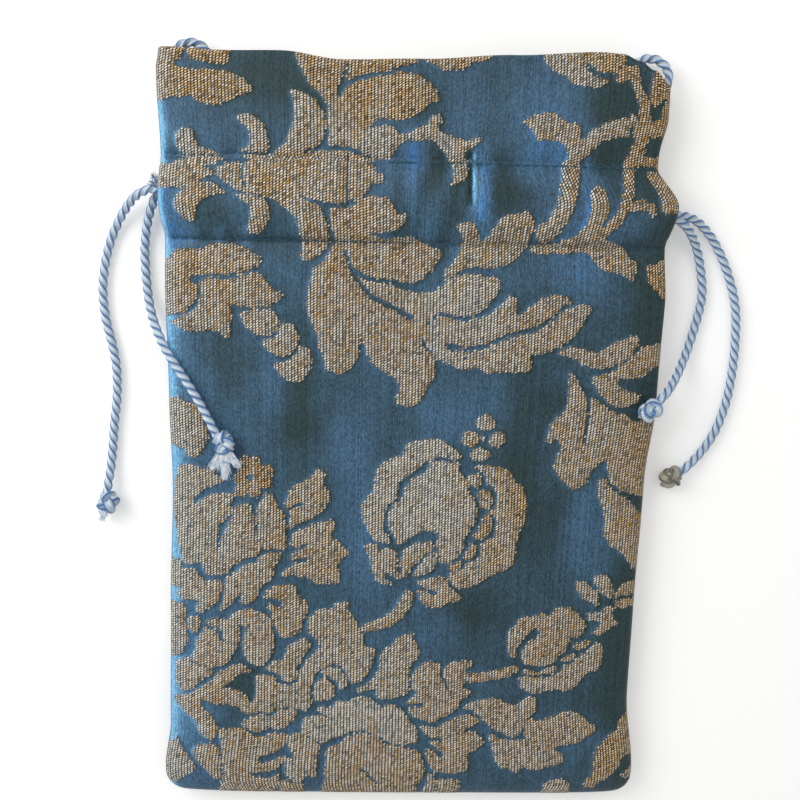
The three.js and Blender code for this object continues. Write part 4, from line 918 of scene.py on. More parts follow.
# How deep places lie inside a chain of segments that has a radius at each point.
def chain_distance(places, chain, radii):
    start = chain[:-1]
    step = np.diff(chain, axis=0)
    away = places[:, None] - start[None]
    share = np.clip((away * step).sum(2) / np.maximum((step ** 2).sum(1), 1e-9), 0, 1)
    gap = np.sqrt(((away - share[..., None] * step) ** 2).sum(2))
    return (radii[:-1] + share * np.diff(radii) - gap).max(1)


def motif_field(x, y):
    places = np.stack([x.ravel(), y.ravel()], 1)
    field = np.full(len(places), -MOTIF_REACH)
    tone = np.full(len(places), 0.5)

    def near(points, reach):
        low, high = points.min(0) - reach, points.max(0) + reach
        return np.flatnonzero(((places > low) & (places < high)).all(1))

    def lay(found, depth, ochre):
        better = depth > field[found]
        field[found[better]] = depth[better]
        tone[found[better]] = ochre

    for ochre, points in MOTIFS:
        outline = smooth_outline(points)
        found = near(outline, MOTIF_REACH)
        spots = places[found]
        ring = np.vstack([outline, outline[:1]])
        gap = -chain_distance(spots, ring, np.zeros(len(ring)))
        (x0, y0), (x1, y1) = ring[:-1].T, ring[1:].T
        px, py = spots[:, :1], spots[:, 1:]
        rise = np.where(y1 == y0, 1e-9, y1 - y0)
        crossed = ((y0 > py) != (y1 > py)) & (px < (x1 - x0) * (py - y0) / rise + x0)
        lay(found, np.where(crossed.sum(1) % 2 == 1, gap, -gap), ochre)
    for ochre, points in STEMS:
        stem = np.array(points, float)
        found = near(stem[:, :2], STEM_REACH)
        lay(found, chain_distance(places[found], stem[:, :2], stem[:, 2]), ochre)
    for half_width, points in SLITS:
        slit = np.array(points, float)
        found = near(slit, SLIT_REACH)
        open_depth = chain_distance(places[found], slit, np.full(len(slit), half_width))
        field[found] = np.minimum(field[found], -open_depth)
    return np.clip(field, -MOTIF_REACH, MOTIF_REACH).reshape(x.shape), tone.reshape(x.shape)


# Evenly spaced places along a curve, so that the mesh stays fine where the cloth turns at its edges.
def even_places(values, lengths, step):
    total = np.concatenate([[0], np.cumsum(lengths)])
    count = COARSE * round(total[-1] / step / COARSE) + 1
    even = np.linspace(0, total[-1], count)
    return np.interp(even, total, values), even


def sheet_grid():
    share = np.sin(np.linspace(-math.pi / 2, math.pi / 2, 4001))
    across = np.hypot(np.diff(share) * BAG_WIDTH / 2, np.diff(turned(share)) * SIDE_RISE)
    shares, u = even_places(share, across, FINE_STEP)
    rows = np.concatenate([BOTTOM + BOTTOM_ROUND * (1 - np.cos(np.linspace(0, math.pi / 2, 2000))),
                           np.linspace(BOTTOM + BOTTOM_ROUND + 0.05, TOP - HEM / 2, 4000)])
    up = np.hypot(np.diff(rows), np.diff(closing(rows)) * BOTTOM_RISE)
    ys, v = even_places(rows, up, FINE_STEP)
    return shares, u - u[-1] / 2, ys, v


RELIEF = 0.28
FOLD_STEPS = 5


# The motifs stand up from the ground, and swell a little towards their middle.
def relief(field):
    return RELIEF * (0.8 * ease(-0.7, 0.7, field) + 1.4 * (1 - np.exp(-np.maximum(field, 0) / 2)))


def soft_patches(patches, x, y):
    total = np.zeros_like(x)
    for across, row, half_width, half_length, amount in patches:
        total += amount * np.exp(-((x - across) / half_width) ** 2 - ((y - row) / half_length) ** 2)
    return total


# One folded sheet as a closed mesh: its outer face is fine, the faces inside are coarser.
def sheet_mesh(name, point, outward):
    shares, u, ys, v = sheet_grid()
    coarse_shares, coarse_u = shares[::COARSE], u[::COARSE]
    coarse_ys, coarse_v = ys[::COARSE], v[::COARSE]
    hem_from = int(np.searchsorted(coarse_ys, HEM_END))

    share, row = np.meshgrid(shares, ys)
    outer = point(share, row, 0, 0, False)
    field, tone = motif_field(outer[..., 0], outer[..., 1])
    raised = relief(field) * edge_fade(share) * closing(row)
    outer[..., 2] += outward * raised
    arc = [math.pi * (k + 1) / (FOLD_STEPS + 1) for k in range(FOLD_STEPS)]
    top = [point(shares, np.full_like(shares, TOP - HEM / 2 * (1 - math.sin(a))), HEM / 2 * (1 - math.cos(a)),
                 HEM / 2 * (1 - math.cos(a)), False) for a in arc]
    fine = np.concatenate([outer, np.array(top)])
    fine_field = np.concatenate([field, np.repeat(field[-1:], FOLD_STEPS, 0)])
    fine_tone = np.concatenate([tone, np.repeat(tone[-1:], FOLD_STEPS, 0)])
    fine_v = np.concatenate([v, v[-1] + HEM / 2 * np.array(arc)])

    share, row = np.meshgrid(coarse_shares, coarse_ys)
    hem_face = point(share, row, HEM, HEM, True)[hem_from:][::-1]
    hem_hidden = point(share, row, CLOTH + THREAD_GAP, CLOTH + THREAD_GAP, True)[hem_from:]
    outer_hidden = point(share, row, CLOTH, CLOTH, False)[::-1]
    inner = np.concatenate([hem_face, hem_hidden, outer_hidden])
    inner_v = np.concatenate([coarse_v[hem_from:][::-1], coarse_v[hem_from:], coarse_v[::-1]])
    inner_field, inner_tone = motif_field(inner[..., 0], inner[..., 1])

    rows_fine, columns = fine.shape[:2]
    rows_inner, wide = inner.shape[:2]
    first = rows_fine * columns
    hems = len(hem_face)
    last = rows_inner - 1

    def at(r, c):
        return r * columns + c

    def into(r, c):
        return first + r * wide + c

    faces = [(at(r, c), at(r, c + 1), at(r + 1, c + 1), at(r + 1, c))
             for r in range(rows_fine - 1) for c in range(columns - 1)]
    faces += [(into(r, c), into(r, c + 1), into(r + 1, c + 1), into(r + 1, c))
              for r in range(rows_inner - 1) for c in range(wide - 1)]
    for c in range(wide - 1):
        span = range(COARSE * c, COARSE * c + COARSE + 1)
        faces.append([at(rows_fine - 1, k) for k in span] + [into(0, c + 1), into(0, c)])
        faces.append([at(0, k) for k in reversed(span)] + [into(last, c), into(last, c + 1)])
    for edge, edge_in in ((0, 0), (columns - 1, wide - 1)):
        for r in range(len(coarse_ys) - 1):
            span = range(COARSE * r, COARSE * r + COARSE + 1)
            low, high = last - r, last - 1 - r
            faces.append([at(k, edge) for k in span] + [into(high, edge_in), into(low, edge_in)])
        for r in range(hems - 1):
            faces.append((into(r, edge_in), into(r + 1, edge_in), into(2 * hems - 2 - r, edge_in),
                          into(2 * hems - 1 - r, edge_in)))
        fold = [at(len(ys) - 1 + k, edge) for k in range(FOLD_STEPS + 1)]
        faces.append(fold + [into(0, edge_in), into(2 * hems - 1, edge_in), into(2 * hems, edge_in)])

    points = np.concatenate([fine.reshape(-1, 3), inner.reshape(-1, 3)]) / 1000
    mesh = bpy.data.meshes.new(name)
    mesh.from_pydata(points.tolist(), [], faces)
    cloth_u = np.concatenate([np.tile(u, rows_fine), np.tile(coarse_u, rows_inner)])
    cloth_v = np.concatenate([np.repeat(fine_v, columns), np.repeat(inner_v, wide)])
    corners = np.empty(len(mesh.loops), dtype=np.int32)
    mesh.loops.foreach_get("vertex_index", corners)
    layer = mesh.uv_layers.new(name="cloth")
    layer.data.foreach_set("uv", (np.stack([cloth_u, cloth_v], 1)[corners] / 1000).ravel())
    # The satin's painted light and shade, in soft patches.
    painted_shines = [soft_patches(PAINTED_SHEEN, face[..., 0], face[..., 1]) for face in (fine, inner)]
    fine_tone += soft_patches(GOLDEN, fine[..., 0], fine[..., 1])
    inner_tone += soft_patches(GOLDEN, inner[..., 0], inner[..., 1])
    for label, values in (("motif", (fine_field, inner_field)), ("ochre", (fine_tone, inner_tone)),
                          ("painted_sheen", painted_shines)):
        attribute = mesh.attributes.new(label, "FLOAT", "POINT")
        joined = np.concatenate([part.ravel() for part in values])
        attribute.data.foreach_set("value", joined.astype(np.float32))
    return finished_object(name, mesh)


def finished_object(name, mesh):
    made = bpy.data.objects.new(name, mesh)
    bpy.context.collection.objects.link(made)
    bpy.ops.object.select_all(action="DESELECT")
    bpy.context.view_layer.objects.active = made
    made.select_set(True)
    bpy.ops.object.mode_set(mode="EDIT")
    bpy.ops.mesh.select_all(action="SELECT")
    bpy.ops.mesh.normals_make_consistent(inside=False)
    bpy.ops.object.mode_set(mode="OBJECT")
    bpy.ops.object.shade_smooth_by_angle(angle=math.radians(60))
    return made


def colour(hex_code):
    parts = [int(hex_code[k:k + 2], 16) / 255 for k in (1, 3, 5)]
    return tuple(p / 12.92 if p <= 0.04045 else ((p + 0.055) / 1.055) ** 2.4 for p in parts) + (1,)


def add_node(tree, kind, inputs=None, **settings):
    made = tree.nodes.new(kind)
    for name, value in settings.items():
        setattr(made, name, value)
    for socket, value in (inputs or {}).items():
        if isinstance(value, bpy.types.NodeSocket):
            tree.links.new(value, made.inputs[socket])
        else:
            made.inputs[socket].default_value = value
    return made


# Jacquard: a satin ground of dark teal warp and bright blue weft, with figures in thick ochre and cream
# weft. The satin's colour is painted light and shade: blue on slopes that face the light at the left, teal on
# those that face away, and the threads of the figure lie as slanted stitches in upright ribs.
RIB_PITCH = 1.03
STITCH_STEP = 0.86
STITCH_SLANT = 0.85
SATIN_THREAD = 0.34
SATIN_FLOAT = 0.7
RIB_RUN = 9
GROUND_SHADED_TEAL = "#22393b"
GROUND_LIT_BLUE = "#3f627e"
GROUND_SHINE = "#386ea3"
GROUND_EDGE_HIGHLIGHT = "#74b0d4"
OCHRE = "#c2964a"
CREAM = "#d8cdb8"
HIGHLIGHT = "#f8efdf"
LIT_SLOPE_PALE = "#d2cec9"
GAP_BROWN = "#241d11"
GAP_BLUE = "#1d3746"


def jacquard():
    made = bpy.data.materials.new("floral_jacquard")
    made.use_nodes = True
    tree = made.node_tree
    shader = tree.nodes["Principled BSDF"]

    def maths(operation, first, second=0.0, third=0.0):
        sockets = {0: first, 1: second, 2: third}
        return add_node(tree, "ShaderNodeMath", sockets, operation=operation).outputs[0]

    def blend(share, low, high, mode="MIX"):
        sockets = {0: share, 6: low, 7: high}
        return add_node(tree, "ShaderNodeMix", sockets, data_type="RGBA", blend_type=mode).outputs[2]

    def band(value, low, high):
        sockets = {0: value, 1: low, 2: high, 3: 0.0, 4: 1.0}
        return add_node(tree, "ShaderNodeMapRange", sockets, interpolation_type="SMOOTHSTEP").outputs[0]

    def about_zero(value, amount):
        return maths("MULTIPLY", maths("SUBTRACT", value, 0.5), amount)

    place = add_node(tree, "ShaderNodeUVMap", uv_map="cloth").outputs[0]
    motif, ochre, patch = (add_node(tree, "ShaderNodeAttribute", attribute_name=label).outputs["Fac"]
                           for label in ("motif", "ochre", "painted_sheen"))
    split = add_node(tree, "ShaderNodeSeparateXYZ", {0: place})
    across, up = split.outputs[0], split.outputs[1]
    # How much the surface faces left, towards the light; the colours below paint light and shade from it.
    slope = add_node(tree, "ShaderNodeNewGeometry").outputs["Normal"]
    toward_light = {0: slope, 1: (-1.0, 0.0, 0.0)}
    facing = add_node(tree, "ShaderNodeVectorMath", toward_light, operation="DOT_PRODUCT").outputs[1]

    # The stitches of the figure: upright ribs, cut into slanted stitches that each have a tone of their own.
    rib = maths("MULTIPLY", across, 1000 / RIB_PITCH)
    column = maths("FLOOR", rib)
    in_rib = maths("SUBTRACT", maths("FRACT", rib), 0.5)
    column_chance = add_node(tree, "ShaderNodeTexWhiteNoise", {"W": column}, noise_dimensions="1D").outputs[0]
    climb = maths("SUBTRACT", maths("MULTIPLY", up, 1000 / STITCH_STEP), maths("MULTIPLY", rib, STITCH_SLANT))
    climb = maths("ADD", climb, maths("MULTIPLY", column_chance, 0.5))
    stitch = maths("FLOOR", climb)
    in_stitch = maths("SUBTRACT", maths("FRACT", climb), 0.5)
    stitch_place = add_node(tree, "ShaderNodeCombineXYZ", {0: column, 1: stitch}).outputs[0]
    chance = add_node(tree, "ShaderNodeTexWhiteNoise", {0: stitch_place}, noise_dimensions="2D")
    pick = chance.outputs[0]
    pick_parts = add_node(tree, "ShaderNodeSeparateColor", {0: chance.outputs[1]})
    woven = band(maths("ADD", motif, about_zero(pick, 0.8)), -0.12, 0.12)

    # Cream or golden thread, by zone, by rib and by stitch, with dark gaps between: the ground seen between
    # the ribs, and painted shade at the edges of each stitch.
    runs = {0: maths("MULTIPLY", column, 7.3), 1: maths("MULTIPLY", up, 1000 / RIB_RUN)}
    rib_place = add_node(tree, "ShaderNodeCombineXYZ", runs).outputs[0]
    rib_tone = add_node(tree, "ShaderNodeTexNoise", {0: rib_place, "Scale": 1.0, "Detail": 1.0}).outputs[0]
    long_place = add_node(tree, "ShaderNodeMapping", {0: place, 3: (190.0, 55.0, 1.0)}).outputs[0]
    drift = add_node(tree, "ShaderNodeTexNoise", {0: long_place, "Scale": 1.0, "Detail": 2.0}).outputs[0]
    odd = maths("MODULO", maths("ABSOLUTE", column), 2.0)
    zone = maths("ADD", ochre, about_zero(drift, 1.0))
    tone = maths("ADD", zone, about_zero(rib_tone, 1.5))
    # Painted light: slopes that face the light turn less golden.
    tone = maths("SUBTRACT", tone, maths("MULTIPLY", facing, 1.6))
    tone = maths("ADD", tone, maths("ADD", about_zero(odd, 0.44), about_zero(pick, 0.45)))
    golden = band(tone, 0.18, 0.52)
    rib_edge = band(maths("ABSOLUTE", in_rib), 0.54, 0.16)
    stitch_edge = band(maths("ABSOLUTE", in_stitch), 0.54, 0.1)
    bead = maths("MULTIPLY", rib_edge, stitch_edge)
    thread = blend(golden, colour(CREAM), colour(OCHRE))
    # Painted light: threads on slopes that face the light are mixed towards pale grey.
    thread = blend(maths("MULTIPLY", band(facing, 0.08, 0.45), 0.6), thread, colour(LIT_SLOPE_PALE))
    lightness = maths("ADD", 0.36, maths("MULTIPLY", pick_parts.outputs[2], 1.02))
    lightness = maths("SUBTRACT", lightness, maths("MULTIPLY", zone, 0.1))
    thread = blend(1.0, thread, lightness, "MULTIPLY")
    glint = maths("MULTIPLY", band(bead, 0.45, 0.95), maths("MULTIPLY", pick_parts.outputs[1], 0.9))
    thread = blend(glint, thread, colour(HIGHLIGHT))
    in_pair = maths("MULTIPLY", in_rib, maths("SUBTRACT", 1.0, maths("MULTIPLY", odd, 2.0)))
    broken = band(maths("ADD", rib_tone, about_zero(pick, 0.3)), 0.62, 0.4)
    pair_gap = maths("MULTIPLY", band(in_pair, 0.1, 0.4), maths("MULTIPLY", band(zone, 0.7, 0.36), broken))
    # Painted shade: each stitch darkens towards its edges and into the gaps.
    body = maths("MULTIPLY", band(bead, 0.06, 0.7), maths("SUBTRACT", 1.0, maths("MULTIPLY", pair_gap, 0.8)))
    gap = blend(band(zone, 0.55, 0.95), colour(GAP_BLUE), colour(GAP_BROWN))
    thread = blend(body, gap, thread)

    # The satin ground: fine upright floats, painted teal where shaded and blue where lit, by slope and by
    # patch, with a painted highlight at the left edge.
    satin = add_node(tree, "ShaderNodeMapping", {0: place, 3: (1000 / SATIN_THREAD, 420.0, 1.0)}).outputs[0]
    streak = add_node(tree, "ShaderNodeTexNoise", {0: satin, "Scale": 1.0, "Detail": 1.0}).outputs[0]
    broad = add_node(tree, "ShaderNodeTexNoise", {0: place, "Scale": 60.0, "Detail": 3.0}).outputs[0]
    warp = maths("FLOOR", maths("MULTIPLY", across, 1000 / SATIN_THREAD))
    warp_chance = add_node(tree, "ShaderNodeTexWhiteNoise", {"W": warp}, noise_dimensions="1D").outputs[0]
    float_row = maths("ADD", maths("MULTIPLY", up, 1000 / SATIN_FLOAT), warp_chance)
    satin_cell = add_node(tree, "ShaderNodeCombineXYZ", {0: warp, 1: maths("FLOOR", float_row)}).outputs[0]
    grain = add_node(tree, "ShaderNodeTexWhiteNoise", {0: satin_cell}, noise_dimensions="2D").outputs[0]
    # Painted light and shade: lit slopes and patches bluer, shaded ones dark teal.
    painted_sheen = maths("ADD", maths("MULTIPLY", facing, 3.0), maths("ADD", patch, about_zero(broad, 0.9)))
    painted_sheen = maths("ADD", painted_sheen, about_zero(streak, 0.7))
    ground = blend(band(painted_sheen, -0.75, 0.75), colour(GROUND_SHADED_TEAL), colour(GROUND_LIT_BLUE))
    ground = blend(band(painted_sheen, 0.6, 1.5), ground, colour(GROUND_SHINE))
    # Painted highlight: a pale blue band along the slopes that face the light at the left edge.
    painted_rim_highlight = maths("MULTIPLY", band(facing, 0.15, 0.5), band(facing, 1.0, 0.7))
    ground = blend(painted_rim_highlight, ground, colour(GROUND_EDGE_HIGHLIGHT))
    thread_light = maths("ADD", maths("MULTIPLY", grain, 0.76), maths("MULTIPLY", warp_chance, 0.4))
    ground = blend(1.0, ground, maths("ADD", 0.42, thread_light), "MULTIPLY")

    tree.links.new(blend(woven, ground, thread), shader.inputs["Base Color"])
    tree.links.new(maths("ADD", 0.5, maths("MULTIPLY", woven, 0.2)), shader.inputs["Roughness"])
    shader.inputs["Specular IOR Level"].default_value = 0.3
    shader.inputs["Sheen Weight"].default_value = 0.08
    height = maths("ADD", maths("MULTIPLY", woven, maths("ADD", 0.5, maths("MULTIPLY", body, 0.5))),
                   maths("MULTIPLY", maths("ADD", streak, grain), 0.1))
    bump = add_node(tree, "ShaderNodeBump", {"Strength": 0.6, "Distance": 0.0005, "Height": height})
    tree.links.new(bump.outputs[0], shader.inputs["Normal"])
    return made


cloth_finish = jacquard()
front = sheet_mesh("front_sheet", front_point, 1)
back = sheet_mesh("back_sheet", back_point, -1)
for sheet, node in ((front, "front_panel"), (back, "back_panel")):
    sheet.data.materials.append(cloth_finish)
    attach(sheet, "root")
    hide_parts(node)

# Stitching: teal sewing thread in two rows that close the channel, with dense bars at the tucks.
# Each stitch is a short length of thread that sinks into the cloth at both ends.
THREAD_RADIUS = 0.26
THREAD_SIDES = 6
STITCH_LENGTH = 2.5
STITCH_RINGS = ((0.0, -0.3, 0.6), (0.18, 0.15, 1.0), (0.82, 0.15, 1.0), (1.0, -0.3, 0.6))
BAR_LIFT = 0.3
BAR_LEAN = 0.15
BAR_STEP = 0.9
ROW_SPAN = (-79, 77)
ROW_GAP = 0.5
TACK_SPAN = (-10.2, -3)
TACK_ROWS = (91.35, 91.8)
TACK_STITCH = 1.6
TACK_STEP = 1.4
TACK_LIFT = 0.1
THREAD_DARK = "#0b2f3e"
THREAD_TEAL = "#1f5d70"


def on_cloth(point, outward, x, y):
    share = np.clip(x / side_x(x, y), -1, 1)
    place = point(share, y, 0, 0, False)
    field, _ = motif_field(place[..., 0], place[..., 1])
    place[..., 2] += outward * relief(field) * edge_fade(share)
    return place


def stitching(name, point, outward, seams):
    ends = np.array(seams, float)
    starts, stops = (on_cloth(point, outward, ends[:, k], ends[:, k + 1]) for k in (0, 2))
    run = stops - starts
    run /= np.linalg.norm(run, axis=1)[:, None]
    side = np.cross(run, (0, 0, 1))
    side /= np.linalg.norm(side, axis=1)[:, None]
    rings = []
    for share, sunk, width in STITCH_RINGS:
        middle = starts + (stops - starts) * share
        middle[:, 2] += outward * (sunk + ends[:, 4])
        for angle in np.radians(range(0, 360, 360 // THREAD_SIDES)):
            around = math.cos(angle) * side + np.array((0, 0, math.sin(angle)))
            rings.append(middle + THREAD_RADIUS * width * around)
    points = np.stack(rings, 1)
    faces = []
    each = len(STITCH_RINGS) * THREAD_SIDES
    for first in range(0, len(points) * each, each):
        for ring in range(first, first + each - THREAD_SIDES, THREAD_SIDES):
            for c in range(THREAD_SIDES):
                near, far = ring + c, ring + (c + 1) % THREAD_SIDES
                faces.append((near, far, far + THREAD_SIDES, near + THREAD_SIDES))
        faces.append(tuple(reversed(range(first, first + THREAD_SIDES))))
        faces.append(tuple(range(first + each - THREAD_SIDES, first + each)))
    mesh = bpy.data.meshes.new(name)
    mesh.from_pydata((points.reshape(-1, 3) / 1000).tolist(), [], faces)
    return finished_object(name, mesh)


# Polyester sewing thread: deep teal, mottled by its fine twist, with little shine.
def sewing_thread():
    made = bpy.data.materials.new("teal_sewing_thread")
    made.use_nodes = True
    tree = made.node_tree
    shader = tree.nodes["Principled BSDF"]
    place = add_node(tree, "ShaderNodeTexCoord").outputs["Object"]
    twist = add_node(tree, "ShaderNodeTexNoise", {0: place, "Scale": 1400.0, "Detail": 1.0}).outputs[0]
    shades = {0: twist, 6: colour(THREAD_DARK), 7: colour(THREAD_TEAL)}
    mixed = add_node(tree, "ShaderNodeMix", shades, data_type="RGBA")
    tree.links.new(mixed.outputs[2], shader.inputs["Base Color"])
    shader.inputs["Roughness"].default_value = 0.6
    return made


seams = []
for ends in STITCH_ROWS:
    for x in np.arange(*ROW_SPAN, STITCH_LENGTH + ROW_GAP):
        seams.append((x, stitch_y(x, ends), x + STITCH_LENGTH, stitch_y(x + STITCH_LENGTH, ends), 0))
bars = []
for x, low, high in TUCKS:
    for y in np.arange(low, high, BAR_STEP):
        bars.append((x, y, x + BAR_LEAN, y + BAR_STEP, BAR_LIFT))
for x in np.arange(*TACK_SPAN, TACK_STEP):
    for y in TACK_ROWS:
        bars.append((x, y, x + TACK_STITCH, y, TACK_LIFT))
sewing_finish = sewing_thread()
for name, point, outward, run in (("front_stitching", front_point, 1, seams + bars),
                                  ("back_stitching", back_point, -1, seams)):
    stitches = stitching(name, point, outward, run)
    stitches.data.materials.append(sewing_finish)
    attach(stitches, "root")

# Drawstrings: two satin cords of three strands in a left-hand lay, each run round the channel and out at
# one side. The run inside the channel is laid here, and the free ends go on from it.
STRANDS = 3
LAY = 9.8
STRAND_SIDES = 9
CORD_STEP = 0.5
CHANNEL_STEP = 0.9
EXIT_RISE = 1.75
EXIT_INSET = 2
EXIT_RUN = 9
EXIT_SPREAD = 1.2
TURN_INSET = 20
LEG_INSET = 33
CORD_RADIUS = CORD_DIAMETER / 2
LEFT_ROW = CHANNEL_MID + 2.6
RIGHT_ROW = CHANNEL_MID - 3


# A smooth path through points, with places a step apart.
def cord_path(points, step=CORD_STEP):
    p = np.array(points, float)
    p = np.vstack([2 * p[0] - p[1], p, 2 * p[-1] - p[-2]])
    knots = np.concatenate([[0], np.cumsum(np.sqrt(np.linalg.norm(np.diff(p, axis=0), axis=1)))])
    path = []
    for k in range(1, len(p) - 2):
        t0, t1, t2, t3 = knots[k - 1:k + 3]
        t = np.linspace(t1, t2, 24, endpoint=False)[:, None]
        a1 = (t1 - t) / (t1 - t0) * p[k - 1] + (t - t0) / (t1 - t0) * p[k]
        a2 = (t2 - t) / (t2 - t1) * p[k] + (t - t1) / (t2 - t1) * p[k + 1]
        a3 = (t3 - t) / (t3 - t2) * p[k + 1] + (t - t2) / (t3 - t2) * p[k + 2]
        b1 = (t2 - t) / (t2 - t0) * a1 + (t - t0) / (t2 - t0) * a2
        b2 = (t3 - t) / (t3 - t1) * a2 + (t - t1) / (t3 - t1) * a3
        path.append((t2 - t) / (t2 - t1) * b1 + (t - t1) / (t2 - t1) * b2)
    path = np.vstack(path + [p[-2:-1]])
    length = np.concatenate([[0], np.cumsum(np.linalg.norm(np.diff(path, axis=0), axis=1))])
    even = np.linspace(0, length[-1], max(4, round(length[-1] / step)) + 1)
    return np.stack([np.interp(even, length, path[:, axis]) for axis in range(3)], 1)


# Rings of the three-strand section, turned along the path by the lay of the cord.
def cord_rings(path, squeeze=None):
    run = np.gradient(path, axis=0)
    run /= np.linalg.norm(run, axis=1)[:, None]
    side = np.cross(run[0], (0, 0, 1))
    if np.linalg.norm(side) < 0.1:
        side = np.cross(run[0], (0, 1, 0))
    sides = []
    for direction in run:
        side = side - direction * side.dot(direction)
        side = side / np.linalg.norm(side)
        sides.append(side)
    sides = np.array(sides)
    rises = np.cross(run, sides)
    length = np.concatenate([[0], np.cumsum(np.linalg.norm(np.diff(path, axis=0), axis=1))])
    count = STRANDS * STRAND_SIDES
    angle = 2 * math.pi * np.arange(count) / count
    strand = CORD_RADIUS / (1 + 2 / math.sqrt(3))
    off = CORD_RADIUS - strand
    swing = (angle + math.pi / STRANDS) % (2 * math.pi / STRANDS) - math.pi / STRANDS
    reach = off * np.cos(swing) + np.sqrt(np.maximum(0, strand ** 2 - (off * np.sin(swing)) ** 2))
    turn = angle[None] - 2 * math.pi * length[:, None] / LAY
    reach = reach[None] * (np.ones(len(path)) if squeeze is None else squeeze)[:, None]
    rings = path[:, None] + reach[..., None] * (np.cos(turn)[..., None] * sides[:, None]
                                              + np.sin(turn)[..., None] * rises[:, None])
    return rings, length


def cord_mesh(name, rings, length):
    rows, count = rings.shape[:2]
    faces = []
    for r in range(rows - 1):
        for c in range(count):
            near, far = r * count + c, r * count + (c + 1) % count
            faces.append((near, far, far + count, near + count))
    faces += [tuple(reversed(range(count))), tuple(range((rows - 1) * count, rows * count))]
    mesh = bpy.data.meshes.new(name)
    mesh.from_pydata((rings.reshape(-1, 3) / 1000).tolist(), [], faces)
    layer = mesh.uv_layers.new(name="cord")
    around = []
    for r in range(rows - 1):
        for c in range(count):
            low, high = c / STRAND_SIDES, (c + 1) / STRAND_SIDES
            around += [(low, length[r]), (high, length[r]), (high, length[r + 1]), (low, length[r + 1])]
    around += [(0.5, length[0])] * count + [(0.5, length[-1])] * count
    layer.data.foreach_set("uv", np.array(around).ravel())
    return finished_object(name, mesh)


# Rayon satin cord: pale glossy strands with fine filaments along them, and painted shade, deep blue, in the
# grooves between.
STRAND_PALE = "#d9e3eb"
STRAND_BLUE = "#a0b8d0"
GROOVE_SHADE = "#356ba8"
GREYED_PALE = "#b9b4a3"
GREYED_GREY = "#918d80"
GREYED_GROOVE_SHADE = "#62625a"
FILAMENT = 0.16
FILAMENT_SHIFT = 0.2


def satin_cord(name, pale, mid, groove_shade):
    made = bpy.data.materials.new(name)
    made.use_nodes = True
    tree = made.node_tree
    shader = tree.nodes["Principled BSDF"]
    place = add_node(tree, "ShaderNodeUVMap", uv_map="cord").outputs[0]
    split = add_node(tree, "ShaderNodeSeparateXYZ", {0: place})
    across = add_node(tree, "ShaderNodeMath", {0: split.outputs[0]}, operation="FRACT").outputs[0]
    stretched = add_node(tree, "ShaderNodeMapping", {0: place, 3: (2.2 / FILAMENT, 0.5, 1.0)}).outputs[0]
    filament = add_node(tree, "ShaderNodeTexNoise", {0: stretched, "Scale": 1.0, "Detail": 2.0}).outputs[0]
    shift = {0: filament, 1: FILAMENT_SHIFT, 2: across}
    shifted = add_node(tree, "ShaderNodeMath", shift, operation="MULTIPLY_ADD").outputs[0]
    ramp = add_node(tree, "ShaderNodeValToRGB", {0: shifted})
    # The blue at the ends of the ramp is painted shade in the grooves between the strands.
    stops = [(0.04, groove_shade), (0.12, groove_shade), (0.3, mid), (0.56, pale), (0.78, pale), (0.94, mid),
             (1.0, groove_shade)]
    ramp.color_ramp.elements.remove(ramp.color_ramp.elements[0])
    ramp.color_ramp.elements[0].position = stops[0][0]
    ramp.color_ramp.elements[0].color = colour(stops[0][1])
    for position, shade in stops[1:]:
        ramp.color_ramp.elements.new(position).color = colour(shade)
    shine = add_node(tree, "ShaderNodeMapRange", {0: filament, 1: 0.3, 2: 0.7, 3: 0.78, 4: 1.04}).outputs[0]
    streaked = add_node(tree, "ShaderNodeMix", {0: 1.0, 6: ramp.outputs[0], 7: shine}, data_type="RGBA",
                        blend_type="MULTIPLY").outputs[2]
    tree.links.new(streaked, shader.inputs["Base Color"])
    shader.inputs["Roughness"].default_value = 0.4
    shader.inputs["Sheen Weight"].default_value = 0.1
    bump = add_node(tree, "ShaderNodeBump", {"Strength": 0.7, "Distance": 0.0002, "Height": filament})
    tree.links.new(bump.outputs[0], shader.inputs["Normal"])
    return made


cord_finish = satin_cord("rayon_satin_cord", STRAND_PALE, STRAND_BLUE, GROOVE_SHADE)
# A greyer, browner copy of the cord, for the right back knot.
greyed_finish = satin_cord("greyed_satin_cord", GREYED_PALE, GREYED_GREY, GREYED_GROOVE_SHADE)


def dress_cord(piece, node, finish=cord_finish):
    piece.data.materials.append(finish)
    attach(piece, "root")
    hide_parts(node)
    return piece


def channel_height(point, x, y):
    share = x / side_x(np.array(x), np.array(y))
    depth = CLOTH + (channel_room(share, np.array(y)) if point is front_point else 0)
    return float(point(np.array(share), np.array(float(y)), CLOTH, depth, False)[2]) + CHANNEL_ROOM / 2


def drawstring(name, side, y):
    half = BAG_WIDTH / 2
    end, turn = half - EXIT_INSET, half - TURN_INSET
    legs = [turn - 1, half - LEG_INSET, 0, LEG_INSET - half, -turn]
    over = [(side * x, y, channel_height(front_point, side * x, y)) for x in legs]
    under = [(side * x, y, channel_height(back_point, side * x, y)) for x in legs]
    low, radius = under[4][2], (over[4][2] - under[4][2]) / 2
    bend = [(-side * (turn + radius * math.cos(a)), y, low + radius + radius * math.sin(a))
            for a in map(math.radians, (45, 0, -45))]
    inside = side * (end - EXIT_RUN)
    start = [(side * end, y, NECK_SEAM + EXIT_RISE), (inside, y, NECK_SEAM + EXIT_RISE + EXIT_SPREAD)]
    finish = [(inside, y, NECK_SEAM - EXIT_RISE - EXIT_SPREAD), (side * end, y, NECK_SEAM - EXIT_RISE)]
    path = cord_path(start + over + bend + under[::-1] + finish, CHANNEL_STEP)
    dress_cord(cord_mesh(name + "_cord", *cord_rings(path)), name)


drawstring("left_drawstring", -1, LEFT_ROW)
drawstring("right_drawstring", 1, RIGHT_ROW)

